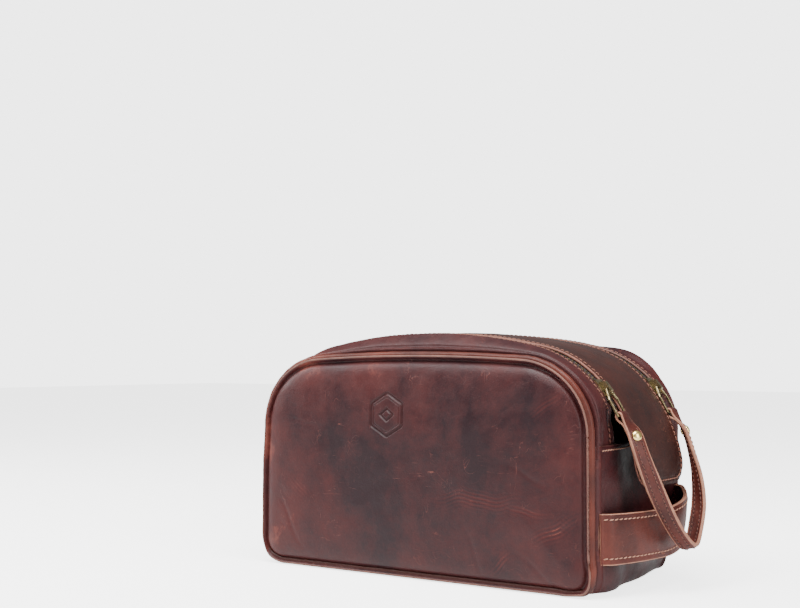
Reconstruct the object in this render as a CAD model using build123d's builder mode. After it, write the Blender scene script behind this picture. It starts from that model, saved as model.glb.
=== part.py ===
from build123d import *
import math
import os
from collections import namedtuple

# Zip-round leather toiletry bag. Millimetres, +Z up. The origin is the middle of the base's underside.
# +X is the end with the strap and the carry handle, -Y is the front.

# ---------------------------------------------------------------- driving dimensions
FACE_WIDTH = 240.0            # seam to seam across the front panel
SEAM_LOW_Z = 6.4              # lower seam of the front panel above the base's underside
BOTTOM_RADIUS = 15.0          # lower corners of the front panel
FACE_Y = 61.5                 # outer surface of the front and rear panels at their seams
DOME = 2.9                    # how far the padded panels swell
DOME_INSET = 22.0             # width of the rounded border round the swell
PANEL_BACK_Y = 59.2           # inner surface of the panels
LEATHER = 1.6
GUSSET_Y = 57.5               # the gussets end here, beside the piping
LAP_Z = 87.5                  # top edge of the lower gusset, which laps over the upper strips
TUCK_Z = 80.0                 # lower end of the upper strips, inside the lap
ZIP_Y = 36.0                  # centre line of each zip
STRIP_EDGE_Y = 42.0           # edge of the upper strips beside the zip
STRIP_BORDER_Y = 47.0         # end of the flat stitched border of the upper strips
FLAP_HALF = 29.0              # half the width of the centre flap
FLAP_LOW_Z = 88.5             # left end of the flap, at its hinge seam
TONGUE_CORNER = 15.0
PIPING_RADIUS = 2.6
PIPING_GROW = 3.5             # piping centre outside the seam line
PIPING_Y = 60.2

# An arch goes from one side of the bag over the top to the other: a straight side, a small arc, a big arc
# and the mirrored three, joined by one flat arc over the top. All its arcs grow by the same amount.
Arch = namedtuple("Arch", "big_x big_z big_radius small_radius join_angle top_angle")
SEAM_BIG = 46.0
SEAM_SMALL = 40.0
SEAM_JOIN = 45.0
SEAM_HALF = FACE_WIDTH / 2
SEAM_BIG_X = SEAM_HALF - SEAM_SMALL - (SEAM_BIG - SEAM_SMALL) * math.cos(math.radians(SEAM_JOIN))
SEAM_ARCH = Arch(SEAM_BIG_X, 89.4, SEAM_BIG, SEAM_SMALL, SEAM_JOIN, 86.5)
CREST_ARCH = Arch(61.0, 72.0, 74.5, 13.7, 38.0, 78.0)     # centre surface of the zip tapes
TONGUE_START = 46.0           # angle where the flap leaves the crest arch
TONGUE_RADIUS = 88.0

# Layers beside the zip, as growth from the centre surface of the tapes
TAPE_HALF = 0.4
STRIP_LAYER = (0.5, 2.1)
STRIP_LINING_LAYER = (-1.5, -0.5)
FLAP_LAYER = (0.5, 2.3)
FLAP_LINING_LAYER = (-1.7, -0.5)

# Growth of each layer from the seam line, away from the zip
LOWER_LAYER = (4.8, 6.4)
UPPER_LAYER = (3.1, 4.7)
LINING_LAYER = (2.4, 3.0)

# Zip
TOOTH_PITCH = 2.8
TOOTH = (1.2, 2.5, 2.2)       # along the chain, across it, thick
TOOTH_GAP = 0.1               # head of a tooth from the centre line
SPREAD = 1.3                  # how far each row moves aside inside the slider
SPREAD_RUN = 6.0              # length over which the rows part, half before the slider's middle and half after
STOP = (2.4, 1.4, 1.2)        # end stop: along the chain, across it, thick
STOP_PAST = 8.6               # stop beyond the slider's middle
SLIDER_ANGLE = 39.5           # rest place of the sliders on the crest arch
SLIDER_BACK = 7.0             # narrow end of the slider from its middle
SLIDER_FRONT = 5.4            # wide end of the slider from its middle
TEETH_END = 4.4               # last tooth from the slider's middle, clear of its wide end
CAVITY_HALF = 1.6
PLATE = 1.0
PIVOT_ALONG = 2.2             # pull pivot from the slider's middle, along the chain
PIVOT_HEIGHT = 4.0            # pull pivot above the centre surface of the tapes
PIVOT_HOLE = 1.25

# Pull ring, strap and rivets
RING_BAR = (131.6, 105.0)     # X and Z of the bar that carries the strap
RING_WIRE = 1.6
RING_THICK = 1.5
RING_HALF = 6.2
RING_ROUND = 0.5
STRAP_LOW = (154.4, 24.9)     # X and Z of the strap's lowest point
STRAP_WIDTH = 9.0
STRAP_THICK = 2.6
STRAP_FOLD = 16.0             # length of the folded end below the ring bar
EYE_RADIUS = 1.25
RIVET_DROP = 11.8             # rivet below the ring bar
RIVET_RADIUS = 3.2
SHANK_RADIUS = 1.2

# Carry handle
HANDLE_Z = (21.4, 51.9)
HANDLE_ROOT_X = 126.5         # inner surface at its two ends
HANDLE_BULGE_X = 140.7        # inner surface at the middle
HANDLE_LAYER = 1.4

os.makedirs("parts", exist_ok=True)


# ---------------------------------------------------------------- shared outlines
def plane_at(y):
    """Vertical plane facing the front, at depth y."""
    return Plane.XZ.offset(-y)


def small_centre(arch):
    """X and Z of the small arc's centre on the right-hand side."""
    angle = math.radians(arch.join_angle)
    reach = arch.big_radius - arch.small_radius
    return arch.big_x + reach * math.cos(angle), arch.big_z + reach * math.sin(angle)


def top_centre(arch):
    """Z of the top arc's centre, and that arc's radius."""
    angle = math.radians(arch.top_angle)
    return arch.big_z - arch.big_x * math.tan(angle), arch.big_radius + arch.big_x / math.cos(angle)


def left_and_top(arch, grow):
    """Small and big arcs of the left side, and the arc over the top."""
    small_x, small_z = small_centre(arch)
    top_z, top_radius = top_centre(arch)
    CenterArc((-small_x, small_z), arch.small_radius + grow, 180 - arch.join_angle, arch.join_angle)
    rise = arch.top_angle - arch.join_angle
    CenterArc((-arch.big_x, arch.big_z), arch.big_radius + grow, 180 - arch.top_angle, rise)
    CenterArc((0, top_z), top_radius + grow, arch.top_angle, 180 - 2 * arch.top_angle)


def arch_over(arch, grow):
    """The whole arch between the tops of its two straight sides."""
    small_x, small_z = small_centre(arch)
    left_and_top(arch, grow)
    rise = arch.top_angle - arch.join_angle
    CenterArc((arch.big_x, arch.big_z), arch.big_radius + grow, arch.join_angle, rise)
    CenterArc((small_x, small_z), arch.small_radius + grow, 0, arch.join_angle)


def arch_with_sides(arch, grow, low_z):
    """The arch with its straight sides down to low_z. Returns X of the right-hand side."""
    small_x, small_z = small_centre(arch)
    side = small_x + arch.small_radius + grow
    Line((-side, low_z), (-side, small_z))
    arch_over(arch, grow)
    Line((side, small_z), (side, low_z))
    return side


def arch_band(arch, layer, low_z):
    """Closed outline of one layer of an arch, between its inner and its outer growth."""
    inner = arch_with_sides(arch, layer[0], low_z)
    outer = arch_with_sides(arch, layer[1], low_z)
    Line((inner, low_z), (outer, low_z))
    Line((-inner, low_z), (-outer, low_z))


def trough(grow, top_z):
    """The two sides and the base, open at the top. Returns X of the right-hand side."""
    side = SEAM_HALF + grow
    radius = max(BOTTOM_RADIUS + grow, LEATHER)
    low_z = SEAM_LOW_Z - grow
    turn_z = low_z + radius
    Line((-side, top_z), (-side, turn_z))
    CenterArc((radius - side, turn_z), radius, 180, 90)
    Line((radius - side, low_z), (side - radius, low_z))
    CenterArc((side - radius, turn_z), radius, 270, 90)
    Line((side, turn_z), (side, top_z))
    return side


def trough_band(layer, top_z):
    """Closed outline of one layer of the trough."""
    inner = trough(layer[0], top_z)
    outer = trough(layer[1], top_z)
    Line((inner, top_z), (outer, top_z))
    Line((-inner, top_z), (-outer, top_z))


def panel_outline(grow):
    """Closed outline of a panel whose edge lies outside the seam line by grow."""
    trough(grow, small_centre(SEAM_ARCH)[1])
    arch_over(SEAM_ARCH, grow)


def mirrored(front):
    """The rear copy of a front piece."""
    with BuildPart() as rear:
        mirror(front.part, about=Plane.XZ)
    return rear


def save(name, piece):
    piece.part.label = name
    export_step(piece.part, f"parts/{name}.step")


def save_pair(name, front):
    save(f"front_{name}", front)
    save(f"rear_{name}", mirrored(front))


# ---------------------------------------------------------------- front and rear panels
def swollen_panel(edge_grow, wall, rise):
    """A plate with a rounded swell on its outer side."""
    with BuildPart() as panel:
        with BuildSketch(plane_at(-PANEL_BACK_Y)):
            with BuildLine():
                panel_outline(edge_grow)
            make_face()
        extrude(amount=wall)
        with BuildSketch(plane_at(-PANEL_BACK_Y - wall)):
            with BuildLine():
                panel_outline(edge_grow)
            make_face()
        with BuildSketch(plane_at(-PANEL_BACK_Y - wall - rise)):
            with BuildLine():
                panel_outline(-DOME_INSET)
            make_face()
        loft(ruled=True)
    return panel


PADDING_EDGE = -1.0
PADDING_WALL = 0.8
padding = swollen_panel(PADDING_EDGE, PADDING_WALL, DOME - 0.1)
save_pair("padding", padding)

PANEL_EDGE = 0.8
skin = swollen_panel(PANEL_EDGE, FACE_Y - PANEL_BACK_Y, DOME)
with BuildPart() as panel_leather:
    add(skin.part)
    add(padding.part, mode=Mode.SUBTRACT)
save_pair("panel", panel_leather)

with BuildPart() as panel_lining:
    with BuildSketch(plane_at(-PANEL_BACK_Y + 0.1)):
        with BuildLine():
            panel_outline(PANEL_EDGE)
        make_face()
    extrude(amount=-0.6)
save_pair("panel_lining", panel_lining)


# ---------------------------------------------------------------- piping
def piping_ring(outer_radius, inner_radius):
    """A round section carried once round the panel's outline."""
    with BuildPart() as ring:
        with BuildLine(plane_at(-PIPING_Y)) as path:
            panel_outline(PIPING_GROW)
        low_z = SEAM_LOW_Z - PIPING_GROW
        with BuildSketch(Plane(origin=(0, -PIPING_Y, low_z), x_dir=(0, 1, 0), z_dir=(1, 0, 0))):
            Circle(outer_radius)
            if inner_radius:
                Circle(inner_radius, mode=Mode.SUBTRACT)
        sweep(path=path.wire())
    return ring


PIPING_CORE = 1.2
save_pair("piping", piping_ring(PIPING_RADIUS, PIPING_CORE + 0.05))
save_pair("piping_cord", piping_ring(PIPING_CORE, 0))


# ---------------------------------------------------------------- upper strips and lower gusset
def upper_strip(edge_y, crest_layer, seam_layer):
    """Strip from the zip's edge, flat at first, then down to the piping."""
    with BuildPart() as strip:
        for y in (edge_y, STRIP_BORDER_Y):
            with BuildSketch(plane_at(-y)):
                with BuildLine():
                    arch_band(CREST_ARCH, crest_layer, TUCK_Z)
                make_face()
        with BuildSketch(plane_at(-GUSSET_Y)):
            with BuildLine():
                arch_band(SEAM_ARCH, seam_layer, TUCK_Z)
            make_face()
        loft(ruled=True)
    return strip


save_pair("upper_strip", upper_strip(STRIP_EDGE_Y, STRIP_LAYER, UPPER_LAYER))
save_pair("strip_lining", upper_strip(STRIP_EDGE_Y + 0.5, STRIP_LINING_LAYER, LINING_LAYER))

with BuildPart() as lower_gusset:
    with BuildSketch(Plane.XZ):
        with BuildLine():
            trough_band(LOWER_LAYER, LAP_Z)
        make_face()
    extrude(amount=GUSSET_Y, both=True)
save("lower_gusset", lower_gusset)

with BuildPart() as lower_lining:
    with BuildSketch(Plane.XZ):
        with BuildLine():
            trough_band(LINING_LAYER, TUCK_Z - 0.2)
        make_face()
    extrude(amount=GUSSET_Y - 0.1, both=True)
save("lower_lining", lower_lining)

BOARD = (202.0, 110.0, 1.5)
BOARD_CORNER = 8.0
with BuildPart() as base_board:
    with BuildSketch(Plane.XY.offset(LEATHER + 0.1)):
        RectangleRounded(BOARD[0], BOARD[1], BOARD_CORNER)
    extrude(amount=BOARD[2])
save("base_board", base_board)

# ---------------------------------------------------------------- slip pocket on the rear lining
POCKET = (170.0, 66.0)
POCKET_LOW_Z = 14.0
POCKET_CORNER = 12.0
POCKET_FACE_Y = 58.3
BINDING = 8.0
with BuildPart() as slip_pocket:
    with BuildSketch(plane_at(POCKET_FACE_Y)):
        with Locations((0, POCKET_LOW_Z + POCKET[1] / 2)):
            RectangleRounded(POCKET[0], POCKET[1], POCKET_CORNER)
    extrude(amount=0.5)
save("slip_pocket", slip_pocket)

with BuildPart() as pocket_binding:
    with BuildSketch(plane_at(POCKET_FACE_Y - 0.6)):
        with Locations((0, POCKET_LOW_Z + POCKET[1] - POCKET_CORNER - BINDING / 2)):
            RectangleRounded(POCKET[0] - 1, BINDING, 1.5)
    extrude(amount=0.9)
save("pocket_binding", pocket_binding)

# ---------------------------------------------------------------- centre flap
tongue_turn = math.radians(TONGUE_START)
TONGUE_X = CREST_ARCH.big_x + (CREST_ARCH.big_radius - TONGUE_RADIUS) * math.cos(tongue_turn)
TONGUE_Z = CREST_ARCH.big_z + (CREST_ARCH.big_radius - TONGUE_RADIUS) * math.sin(tongue_turn)
TONGUE_TIP = tuple((y * (FLAP_HALF + 1), TONGUE_Z + z * TONGUE_CORNER)
                   for y, z in ((-1, -1), (1, -1), (1, 1), (-1, 1)))
TAPE_END_ANGLE = 33.0         # where the flap's tapes end, about the tongue's centre


def flap_over(grow, end_angle):
    """The flap's line from its hinge seam to end_angle on the tongue. Returns its two end points."""
    small_x, small_z = small_centre(CREST_ARCH)
    side = small_x + CREST_ARCH.small_radius + grow
    Line((-side, FLAP_LOW_Z), (-side, small_z))
    left_and_top(CREST_ARCH, grow)
    rise = CREST_ARCH.top_angle - TONGUE_START
    CenterArc((CREST_ARCH.big_x, CREST_ARCH.big_z), CREST_ARCH.big_radius + grow, TONGUE_START, rise)
    CenterArc((TONGUE_X, TONGUE_Z), TONGUE_RADIUS + grow, end_angle, TONGUE_START - end_angle)
    angle = math.radians(end_angle)
    reach = TONGUE_RADIUS + grow
    return (-side, FLAP_LOW_Z), (TONGUE_X + reach * math.cos(angle), TONGUE_Z + reach * math.sin(angle))


def flap_band(layer, end_angle):
    """Closed outline of one layer of the flap."""
    inner = flap_over(layer[0], end_angle)
    outer = flap_over(layer[1], end_angle)
    for inner_end, outer_end in zip(inner, outer):
        Line(inner_end, outer_end)


def flap_sheet(layer):
    """One layer of the flap, with the rounded corners of its tongue."""
    with BuildPart() as sheet:
        with BuildSketch(Plane.XZ):
            with BuildLine():
                flap_band(layer, 0)
            make_face()
        extrude(amount=FLAP_HALF, both=True)
        corner_spots = [(side * (FLAP_HALF - TONGUE_CORNER), TONGUE_Z + TONGUE_CORNER) for side in (-1, 1)]
        with BuildSketch(Plane.YZ.offset(TONGUE_X)):
            Polygon(*TONGUE_TIP, align=None)
            with Locations(*corner_spots):
                Circle(TONGUE_CORNER, mode=Mode.SUBTRACT)
            with Locations((0, TONGUE_Z + TONGUE_CORNER)):
                Rectangle(2 * (FLAP_HALF - TONGUE_CORNER), 3 * TONGUE_CORNER, mode=Mode.SUBTRACT)
        extrude(amount=2 * TONGUE_RADIUS, mode=Mode.SUBTRACT)
    return sheet


save("flap_leather", flap_sheet(FLAP_LAYER))
save("flap_lining", flap_sheet(FLAP_LINING_LAYER))

# ---------------------------------------------------------------- zip teeth and end stops
with BuildLine(Plane.XZ) as outer_chain:
    arch_with_sides(CREST_ARCH, 0, FLAP_LOW_Z)
with BuildLine(Plane.XZ) as inner_chain:
    flap_over(0, 0)


def past_slider(point):
    """Distance of a chain point beyond the slider's middle, towards the strap end."""
    if point.X < CREST_ARCH.big_x:
        return -math.inf
    angle = math.degrees(math.atan2(point.Z - CREST_ARCH.big_z, point.X - CREST_ARCH.big_x))
    return math.radians(SLIDER_ANGLE - angle) * CREST_ARCH.big_radius


def chain_plane(wire, distance, row_side):
    """Plane across one row at a distance along its chain; row_side is 1 outside the centre line, -1 inside."""
    point = wire.position_at(distance, position_mode=PositionMode.LENGTH)
    along = wire.tangent_at(distance, position_mode=PositionMode.LENGTH)
    opened = min(max(past_slider(point) / SPREAD_RUN + 0.5, 0), 1)
    aside = TOOTH_GAP + TOOTH[1] / 2 + SPREAD * opened
    origin = (point.X, -ZIP_Y - row_side * aside, point.Z)
    return Plane(origin=origin, x_dir=along, z_dir=along.cross(Vector(0, 1, 0)))


def from_left(chain):
    """The chain as a wire that starts at the hinge seam."""
    wire = chain.wire()
    if wire.position_at(0).X > 0:
        wire = Wire([edge.reversed() for edge in reversed(wire.edges())])
    return wire


def tooth_row(chain, row_side, start):
    """Separate teeth along one chain, up to the slider's wide end."""
    wire = from_left(chain)
    count = int((wire.length - start) / TOOTH_PITCH)
    planes = [chain_plane(wire, start + number * TOOTH_PITCH, row_side) for number in range(count)]
    inside = [plane for plane in planes if past_slider(plane.origin) < TEETH_END]
    with BuildPart() as row:
        with Locations(*inside):
            Box(*TOOTH)
    return row


ROW_START = 3.0
outer_teeth = tooth_row(outer_chain, 1, ROW_START)
inner_teeth = tooth_row(inner_chain, -1, ROW_START + TOOTH_PITCH / 2)
save_pair("outer_teeth", outer_teeth)
save_pair("inner_teeth", inner_teeth)


def end_stop(chain, row_side):
    """Clamped metal stop on the tape's edge just past the slider, front and rear."""
    wire = from_left(chain)
    steps = [distance * 0.5 for distance in range(int(wire.length * 2))]
    distance = next(step for step in steps if past_slider(wire.position_at(
        step, position_mode=PositionMode.LENGTH)) > STOP_PAST)
    with BuildPart() as stop:
        with Locations(chain_plane(wire, distance, row_side)):
            Box(*STOP)
        mirror(stop.part, about=Plane.XZ)
    return stop


zip_stops = end_stop(outer_chain, 1)
flap_zip_stops = end_stop(inner_chain, -1)
save("zip_stops", zip_stops)
save("flap_zip_stops", flap_zip_stops)

# ---------------------------------------------------------------- zip tapes, notched where the teeth clamp them
INNER_TAPE_Y = (20.0, 35.2)
OUTER_TAPE_Y = (36.8, 46.5)

with BuildPart() as outer_tape:
    with BuildSketch(plane_at(-OUTER_TAPE_Y[0])):
        with BuildLine():
            arch_band(CREST_ARCH, (-TAPE_HALF, TAPE_HALF), FLAP_LOW_Z)
        make_face()
    extrude(amount=OUTER_TAPE_Y[1] - OUTER_TAPE_Y[0])
    add(outer_teeth.part, mode=Mode.SUBTRACT)
    add(zip_stops.part, mode=Mode.SUBTRACT)
save_pair("outer_tape", outer_tape)

with BuildPart() as inner_tape:
    with BuildSketch(plane_at(-INNER_TAPE_Y[0])):
        with BuildLine():
            flap_band((-TAPE_HALF, TAPE_HALF), TAPE_END_ANGLE)
        make_face()
    extrude(amount=INNER_TAPE_Y[1] - INNER_TAPE_Y[0])
    add(inner_teeth.part, mode=Mode.SUBTRACT)
    add(flap_zip_stops.part, mode=Mode.SUBTRACT)
save_pair("inner_tape", inner_tape)

# ---------------------------------------------------------------- sliders
turn = math.radians(SLIDER_ANGLE)
outward = Vector(math.cos(turn), 0, math.sin(turn))
down_chain = Vector(math.sin(turn), 0, -math.cos(turn))
crest_centre = Vector(CREST_ARCH.big_x, -ZIP_Y, CREST_ARCH.big_z)
slider_middle = crest_centre + outward * CREST_ARCH.big_radius
slider_plane = Plane(origin=slider_middle, x_dir=down_chain, z_dir=outward)

SLIDER_NARROW = 4.4           # half widths of the slider's two ends
SLIDER_WIDE = 5.4
FLANGE = (0.9, 0.5)           # width and depth of the turned-in sides
CROWN_WIDTH = 3.0
CROWN_TOP = PIVOT_HEIGHT + PIVOT_HOLE + 0.8
CROWN_FOOT = CAVITY_HALF + PLATE / 2
CROWN_PROFILE = ((-5, CROWN_FOOT), (-3, CROWN_TOP), (3.9, CROWN_TOP), (4.6, CROWN_FOOT))
CROWN_ROUND = 0.4
SHOULDERS = (-2.5, 1.5)       # where the plates widen, along the chain
POST = (1.4, 5.0, 0.25, 0.6)  # start and end of the post between the rows, and its half widths there


def slider_outline(shrink, mode=Mode.ADD):
    """Outline of a slider plate: the half-width grows from the narrow end to the shoulders."""
    narrow = SLIDER_NARROW - shrink
    wide = SLIDER_WIDE - shrink
    half = [(-SLIDER_BACK, narrow), (SHOULDERS[0], narrow), (SHOULDERS[1], wide), (SLIDER_FRONT, wide)]
    other_half = [(x, -y) for x, y in reversed(half)]
    Polygon(*half, *other_half, align=None, mode=mode)


with BuildPart() as slider:
    for side in (1, -1):
        with BuildSketch(slider_plane.offset(side * CAVITY_HALF)):
            slider_outline(0)
        extrude(amount=side * PLATE)
        with BuildSketch(slider_plane.offset(side * CAVITY_HALF)):
            slider_outline(0)
            slider_outline(FLANGE[0], mode=Mode.SUBTRACT)
        extrude(amount=-side * FLANGE[1])
    with BuildSketch(slider_plane.offset(-CAVITY_HALF)):
        start, end, thin, thick = POST
        Polygon((start, thin), (end, thick), (end, -thick), (start, -thin), align=None)
    extrude(amount=2 * CAVITY_HALF)
    with BuildSketch(Plane(origin=slider_middle, x_dir=down_chain, z_dir=(0, -1, 0))):
        with BuildLine():
            FilletPolyline(*CROWN_PROFILE, radius=CROWN_ROUND, close=True)
        make_face()
        with Locations((PIVOT_ALONG, PIVOT_HEIGHT)):
            Circle(PIVOT_HOLE, mode=Mode.SUBTRACT)
    extrude(amount=CROWN_WIDTH / 2, both=True)
save_pair("slider", slider)

# ---------------------------------------------------------------- pull rings
pivot = slider_middle + down_chain * PIVOT_ALONG + outward * PIVOT_HEIGHT
ring_bar = Vector(RING_BAR[0], -ZIP_Y, RING_BAR[1])
pull_length = (ring_bar - pivot).length
pull_down = (ring_bar - pivot).normalized()
pull_plane = Plane(origin=pivot, x_dir=pull_down, z_dir=pull_down.cross(Vector(0, 1, 0)))


RING_NARROW = 2.4             # half width of the ring at its pivot end
RING_SHOULDER = 6.5           # where the ring reaches its full width, from the pivot


def ring_outline(grow, mode=Mode.ADD):
    """Outline of the ring's edge, grown from the middle line of its wire."""
    narrow = RING_NARROW + grow
    wide = RING_HALF - RING_WIRE / 2 + grow
    half = [(-grow, narrow), (RING_SHOULDER, wide), (pull_length + grow, wide)]
    other_half = [(x, -y) for x, y in reversed(half)]
    Polygon(*half, *other_half, align=None, mode=mode)


with BuildPart() as pull_ring:
    with BuildSketch(pull_plane.offset(-RING_THICK / 2)):
        ring_outline(RING_WIRE / 2)
        ring_outline(-RING_WIRE / 2, mode=Mode.SUBTRACT)
    extrude(amount=RING_THICK)
    flat_faces = pull_ring.faces().filter_by(GeomType.PLANE).sort_by(SortBy.AREA)[-2:]
    fillet(flat_faces.edges(), RING_ROUND)
save_pair("pull_ring", pull_ring)

# ---------------------------------------------------------------- strap
low_point = Vector(STRAP_LOW[0], 0, STRAP_LOW[1])
bar_middle = Vector(RING_BAR[0], 0, RING_BAR[1])
strap_up = (bar_middle - low_point).normalized()
strap_out = Vector(0, 1, 0).cross(strap_up)
strap_origin = bar_middle + strap_out * (STRAP_THICK / 2)
strap_plane = Plane(origin=strap_origin, x_dir=(0, 1, 0), z_dir=strap_out)
strap_drop = (strap_origin - low_point).dot(strap_up)
STRAP_SECTIONS = 18
STRAP_PULL = 40.0             # how far below the ring bar each half starts to turn inwards
STRAP_BOTTOM_HALF = 13.0      # half width of the loop's bottom bend
EYE_WRAP = 2.1                # leather around the ring bar
THROAT_TOP = (3.3, 0.6)       # half width and depth where the wrap starts to close in
THROAT_END = 7.0              # depth where its two layers lie flat together
TWIST_END = 0.75              # where along each half the strap has turned edge-on


def strap_section(along):
    """Plane across the strap at a fraction along the path from its folded end to its lowest point."""
    spot = strap_path.position_at(along)
    tangent = strap_path.tangent_at(along)
    side_out = tangent.cross(strap_out)
    turned = min(along / TWIST_END, 1)
    twist = math.radians(90) * turned * turned * (3 - 2 * turned)
    face = strap_out * math.cos(twist) + side_out * math.sin(twist)
    return Plane(origin=spot, x_dir=face.cross(tangent), z_dir=tangent)


with BuildLine(strap_plane) as strap_line:
    Bezier((-ZIP_Y, -STRAP_FOLD), (-ZIP_Y, -STRAP_PULL), (-STRAP_BOTTOM_HALF, -strap_drop), (0, -strap_drop))
strap_path = strap_line.edge()

with BuildPart() as strap:
    with BuildSketch(Plane(origin=ring_bar, x_dir=strap_out, z_dir=(0, -1, 0))):
        Circle(EYE_RADIUS + EYE_WRAP)
        wide, top = THROAT_TOP
        closed = (-STRAP_THICK, -THROAT_END), (STRAP_THICK, -THROAT_END)
        Polygon((-wide, -top), *closed, (wide, -top), align=None)
        with Locations((0, -(THROAT_END + STRAP_FOLD) / 2)):
            Rectangle(2 * STRAP_THICK, STRAP_FOLD - THROAT_END)
        Circle(EYE_RADIUS, mode=Mode.SUBTRACT)
    extrude(amount=STRAP_WIDTH / 2, both=True)
    for step in range(STRAP_SECTIONS + 1):
        with BuildSketch(strap_section(step / STRAP_SECTIONS)):
            Rectangle(STRAP_WIDTH, STRAP_THICK)
    loft(ruled=True)
    with BuildSketch(Plane(origin=ring_bar - strap_up * RIVET_DROP, x_dir=(0, 1, 0), z_dir=strap_out)):
        Circle(SHANK_RADIUS)
    extrude(amount=2 * STRAP_THICK, both=True, mode=Mode.SUBTRACT)
    mirror(strap.part, about=Plane.XZ)
save("strap", strap)

# ---------------------------------------------------------------- strap rivets
rivet_plane = Plane(origin=ring_bar - strap_up * RIVET_DROP, x_dir=(0, 1, 0), z_dir=strap_out)
RIVET_HEIGHT = 1.9
CAP = (1.8, 0.5)              # radius and height
RIVET_EDGE = 0.3              # straight rim under the rivet's dome
with BuildPart() as strap_rivets:
    with BuildSketch(rivet_plane.offset(STRAP_THICK)):
        Circle(RIVET_RADIUS)
    extrude(amount=RIVET_HEIGHT)
    fillet(strap_rivets.edges().sort_by_distance(rivet_plane.origin)[-1], RIVET_HEIGHT - RIVET_EDGE)
    with BuildSketch(rivet_plane.offset(-STRAP_THICK)):
        Circle(SHANK_RADIUS)
    extrude(amount=2 * STRAP_THICK)
    mirror(strap_rivets.part, about=Plane.XZ)
save("strap_rivets", strap_rivets)

with BuildPart() as rivet_caps:
    with BuildSketch(rivet_plane.offset(-STRAP_THICK - CAP[1])):
        Circle(CAP[0])
    extrude(amount=CAP[1])
    mirror(rivet_caps.part, about=Plane.XZ)
save("rivet_caps", rivet_caps)


# ---------------------------------------------------------------- carry handle
def handle_arc(grow):
    """Arc of the band from the front to the rear, seen from above. Returns its two end points."""
    root = (HANDLE_ROOT_X + grow, -GUSSET_Y)
    other_root = (root[0], GUSSET_Y)
    ThreePointArc(root, (HANDLE_BULGE_X + grow, 0), other_root)
    return root, other_root


def handle_layer(inner, outer):
    """One layer of the carry handle."""
    with BuildPart() as layer:
        with BuildSketch(Plane.XY.offset(HANDLE_Z[0])):
            with BuildLine():
                inner_ends = handle_arc(inner)
                outer_ends = handle_arc(outer)
                for inner_end, outer_end in zip(inner_ends, outer_ends):
                    Line(inner_end, outer_end)
            make_face()
        extrude(amount=HANDLE_Z[1] - HANDLE_Z[0])
    return layer


save("handle_backing", handle_layer(0, HANDLE_LAYER))
save("handle_leather", handle_layer(HANDLE_LAYER, 2 * HANDLE_LAYER))
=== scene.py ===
import math

import bpy
import numpy as np
from mathutils import Matrix, Vector


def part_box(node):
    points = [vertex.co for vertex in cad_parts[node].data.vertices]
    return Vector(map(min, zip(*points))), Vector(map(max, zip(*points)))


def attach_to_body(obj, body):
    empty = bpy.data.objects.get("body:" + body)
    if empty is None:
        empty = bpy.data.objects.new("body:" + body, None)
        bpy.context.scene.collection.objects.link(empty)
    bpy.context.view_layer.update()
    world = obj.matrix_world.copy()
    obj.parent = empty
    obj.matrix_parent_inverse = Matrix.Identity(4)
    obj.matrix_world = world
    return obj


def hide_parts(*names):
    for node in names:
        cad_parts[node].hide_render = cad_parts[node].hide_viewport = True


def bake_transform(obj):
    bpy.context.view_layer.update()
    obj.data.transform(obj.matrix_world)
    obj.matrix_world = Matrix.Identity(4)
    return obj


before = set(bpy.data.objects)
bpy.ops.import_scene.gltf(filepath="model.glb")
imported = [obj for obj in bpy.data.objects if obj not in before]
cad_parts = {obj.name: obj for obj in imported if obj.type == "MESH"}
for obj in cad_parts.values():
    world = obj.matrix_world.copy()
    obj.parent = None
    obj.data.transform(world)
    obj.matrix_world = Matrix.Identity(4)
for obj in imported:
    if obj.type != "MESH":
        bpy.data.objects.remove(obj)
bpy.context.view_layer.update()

# Sizes are in millimetres until a mesh is made. X runs to the strap end, -Y is the front, +Z is up.
MM = 0.001
SAME_POINT = 1e-6
BAG_CORE = (0, 0, 70)         # inside points, which the outer sides of the leather face away from
FLAP_CORE = (40, 0, 70)
HANDLE_CORE = (0, 0, 36)
POCKET_CORE = (0, 200, 50)
ACROSS = np.array([0.0, 1.0, 0.0])
rng = np.random.default_rng(7)


def node_box(name):
    """Lowest and highest corner of a CAD node, in millimetres."""
    low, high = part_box(name)
    return np.array(low) / MM, np.array(high) / MM


# ---------------------------------------------------------------- shape of the bag
SEAM_HALF = 120.0             # half the front panel, seam to seam
SEAM_LOW_Z = 6.4
BOTTOM_RADIUS = 15.0
TUCK_Z = 80.0                 # lower end of the upper strips
LAP_Z = node_box("lower_gusset")[1][2]
GUSSET_Y = node_box("lower_gusset")[1][1]
STRIP_EDGE_Y = 41.4
STRIP_BORDER_Y = 47.0
FLAP_HALF = node_box("flap_leather")[1][1] + 1.9
FLAP_LOW_Z = 88.5
TONGUE_CORNER = 15.0
TONGUE_START = 46.0
TONGUE_RADIUS = 88.0
ZIP_Y = 36.0
BEAD_RADIUS = 2.15
PIPING_GROW = 3.5
PIPING_Y = 60.2
SLIDER_ANGLE = 39.5

# big arc centre X and Z, big radius, small radius, angle where they join, angle where the top arc starts
SEAM_BIG_X = SEAM_HALF - 40 - 6 * math.cos(math.radians(45))
SEAM_ARCH = (SEAM_BIG_X, 89.4, 46.0, 40.0, 45.0, 86.5)
CREST_ARCH = (61.0, 72.0, 74.5, 13.7, 38.0, 78.0)
CREST_X, CREST_Z, CREST_RADIUS = CREST_ARCH[:3]
ARC_COUNTS = (16, 26, 64, 26, 16)


def arc(centre_x, centre_z, radius, start, end, count):
    """Points on an arc in the XZ plane, from start to end in degrees, without the last one."""
    turn = np.radians(np.linspace(start, end, count, endpoint=False))
    return np.stack([centre_x + radius * np.cos(turn), centre_z + radius * np.sin(turn)], axis=1)


def straight(start, end, count):
    """Points on a straight run, without the last one."""
    return np.linspace(start, end, count, endpoint=False)


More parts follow.
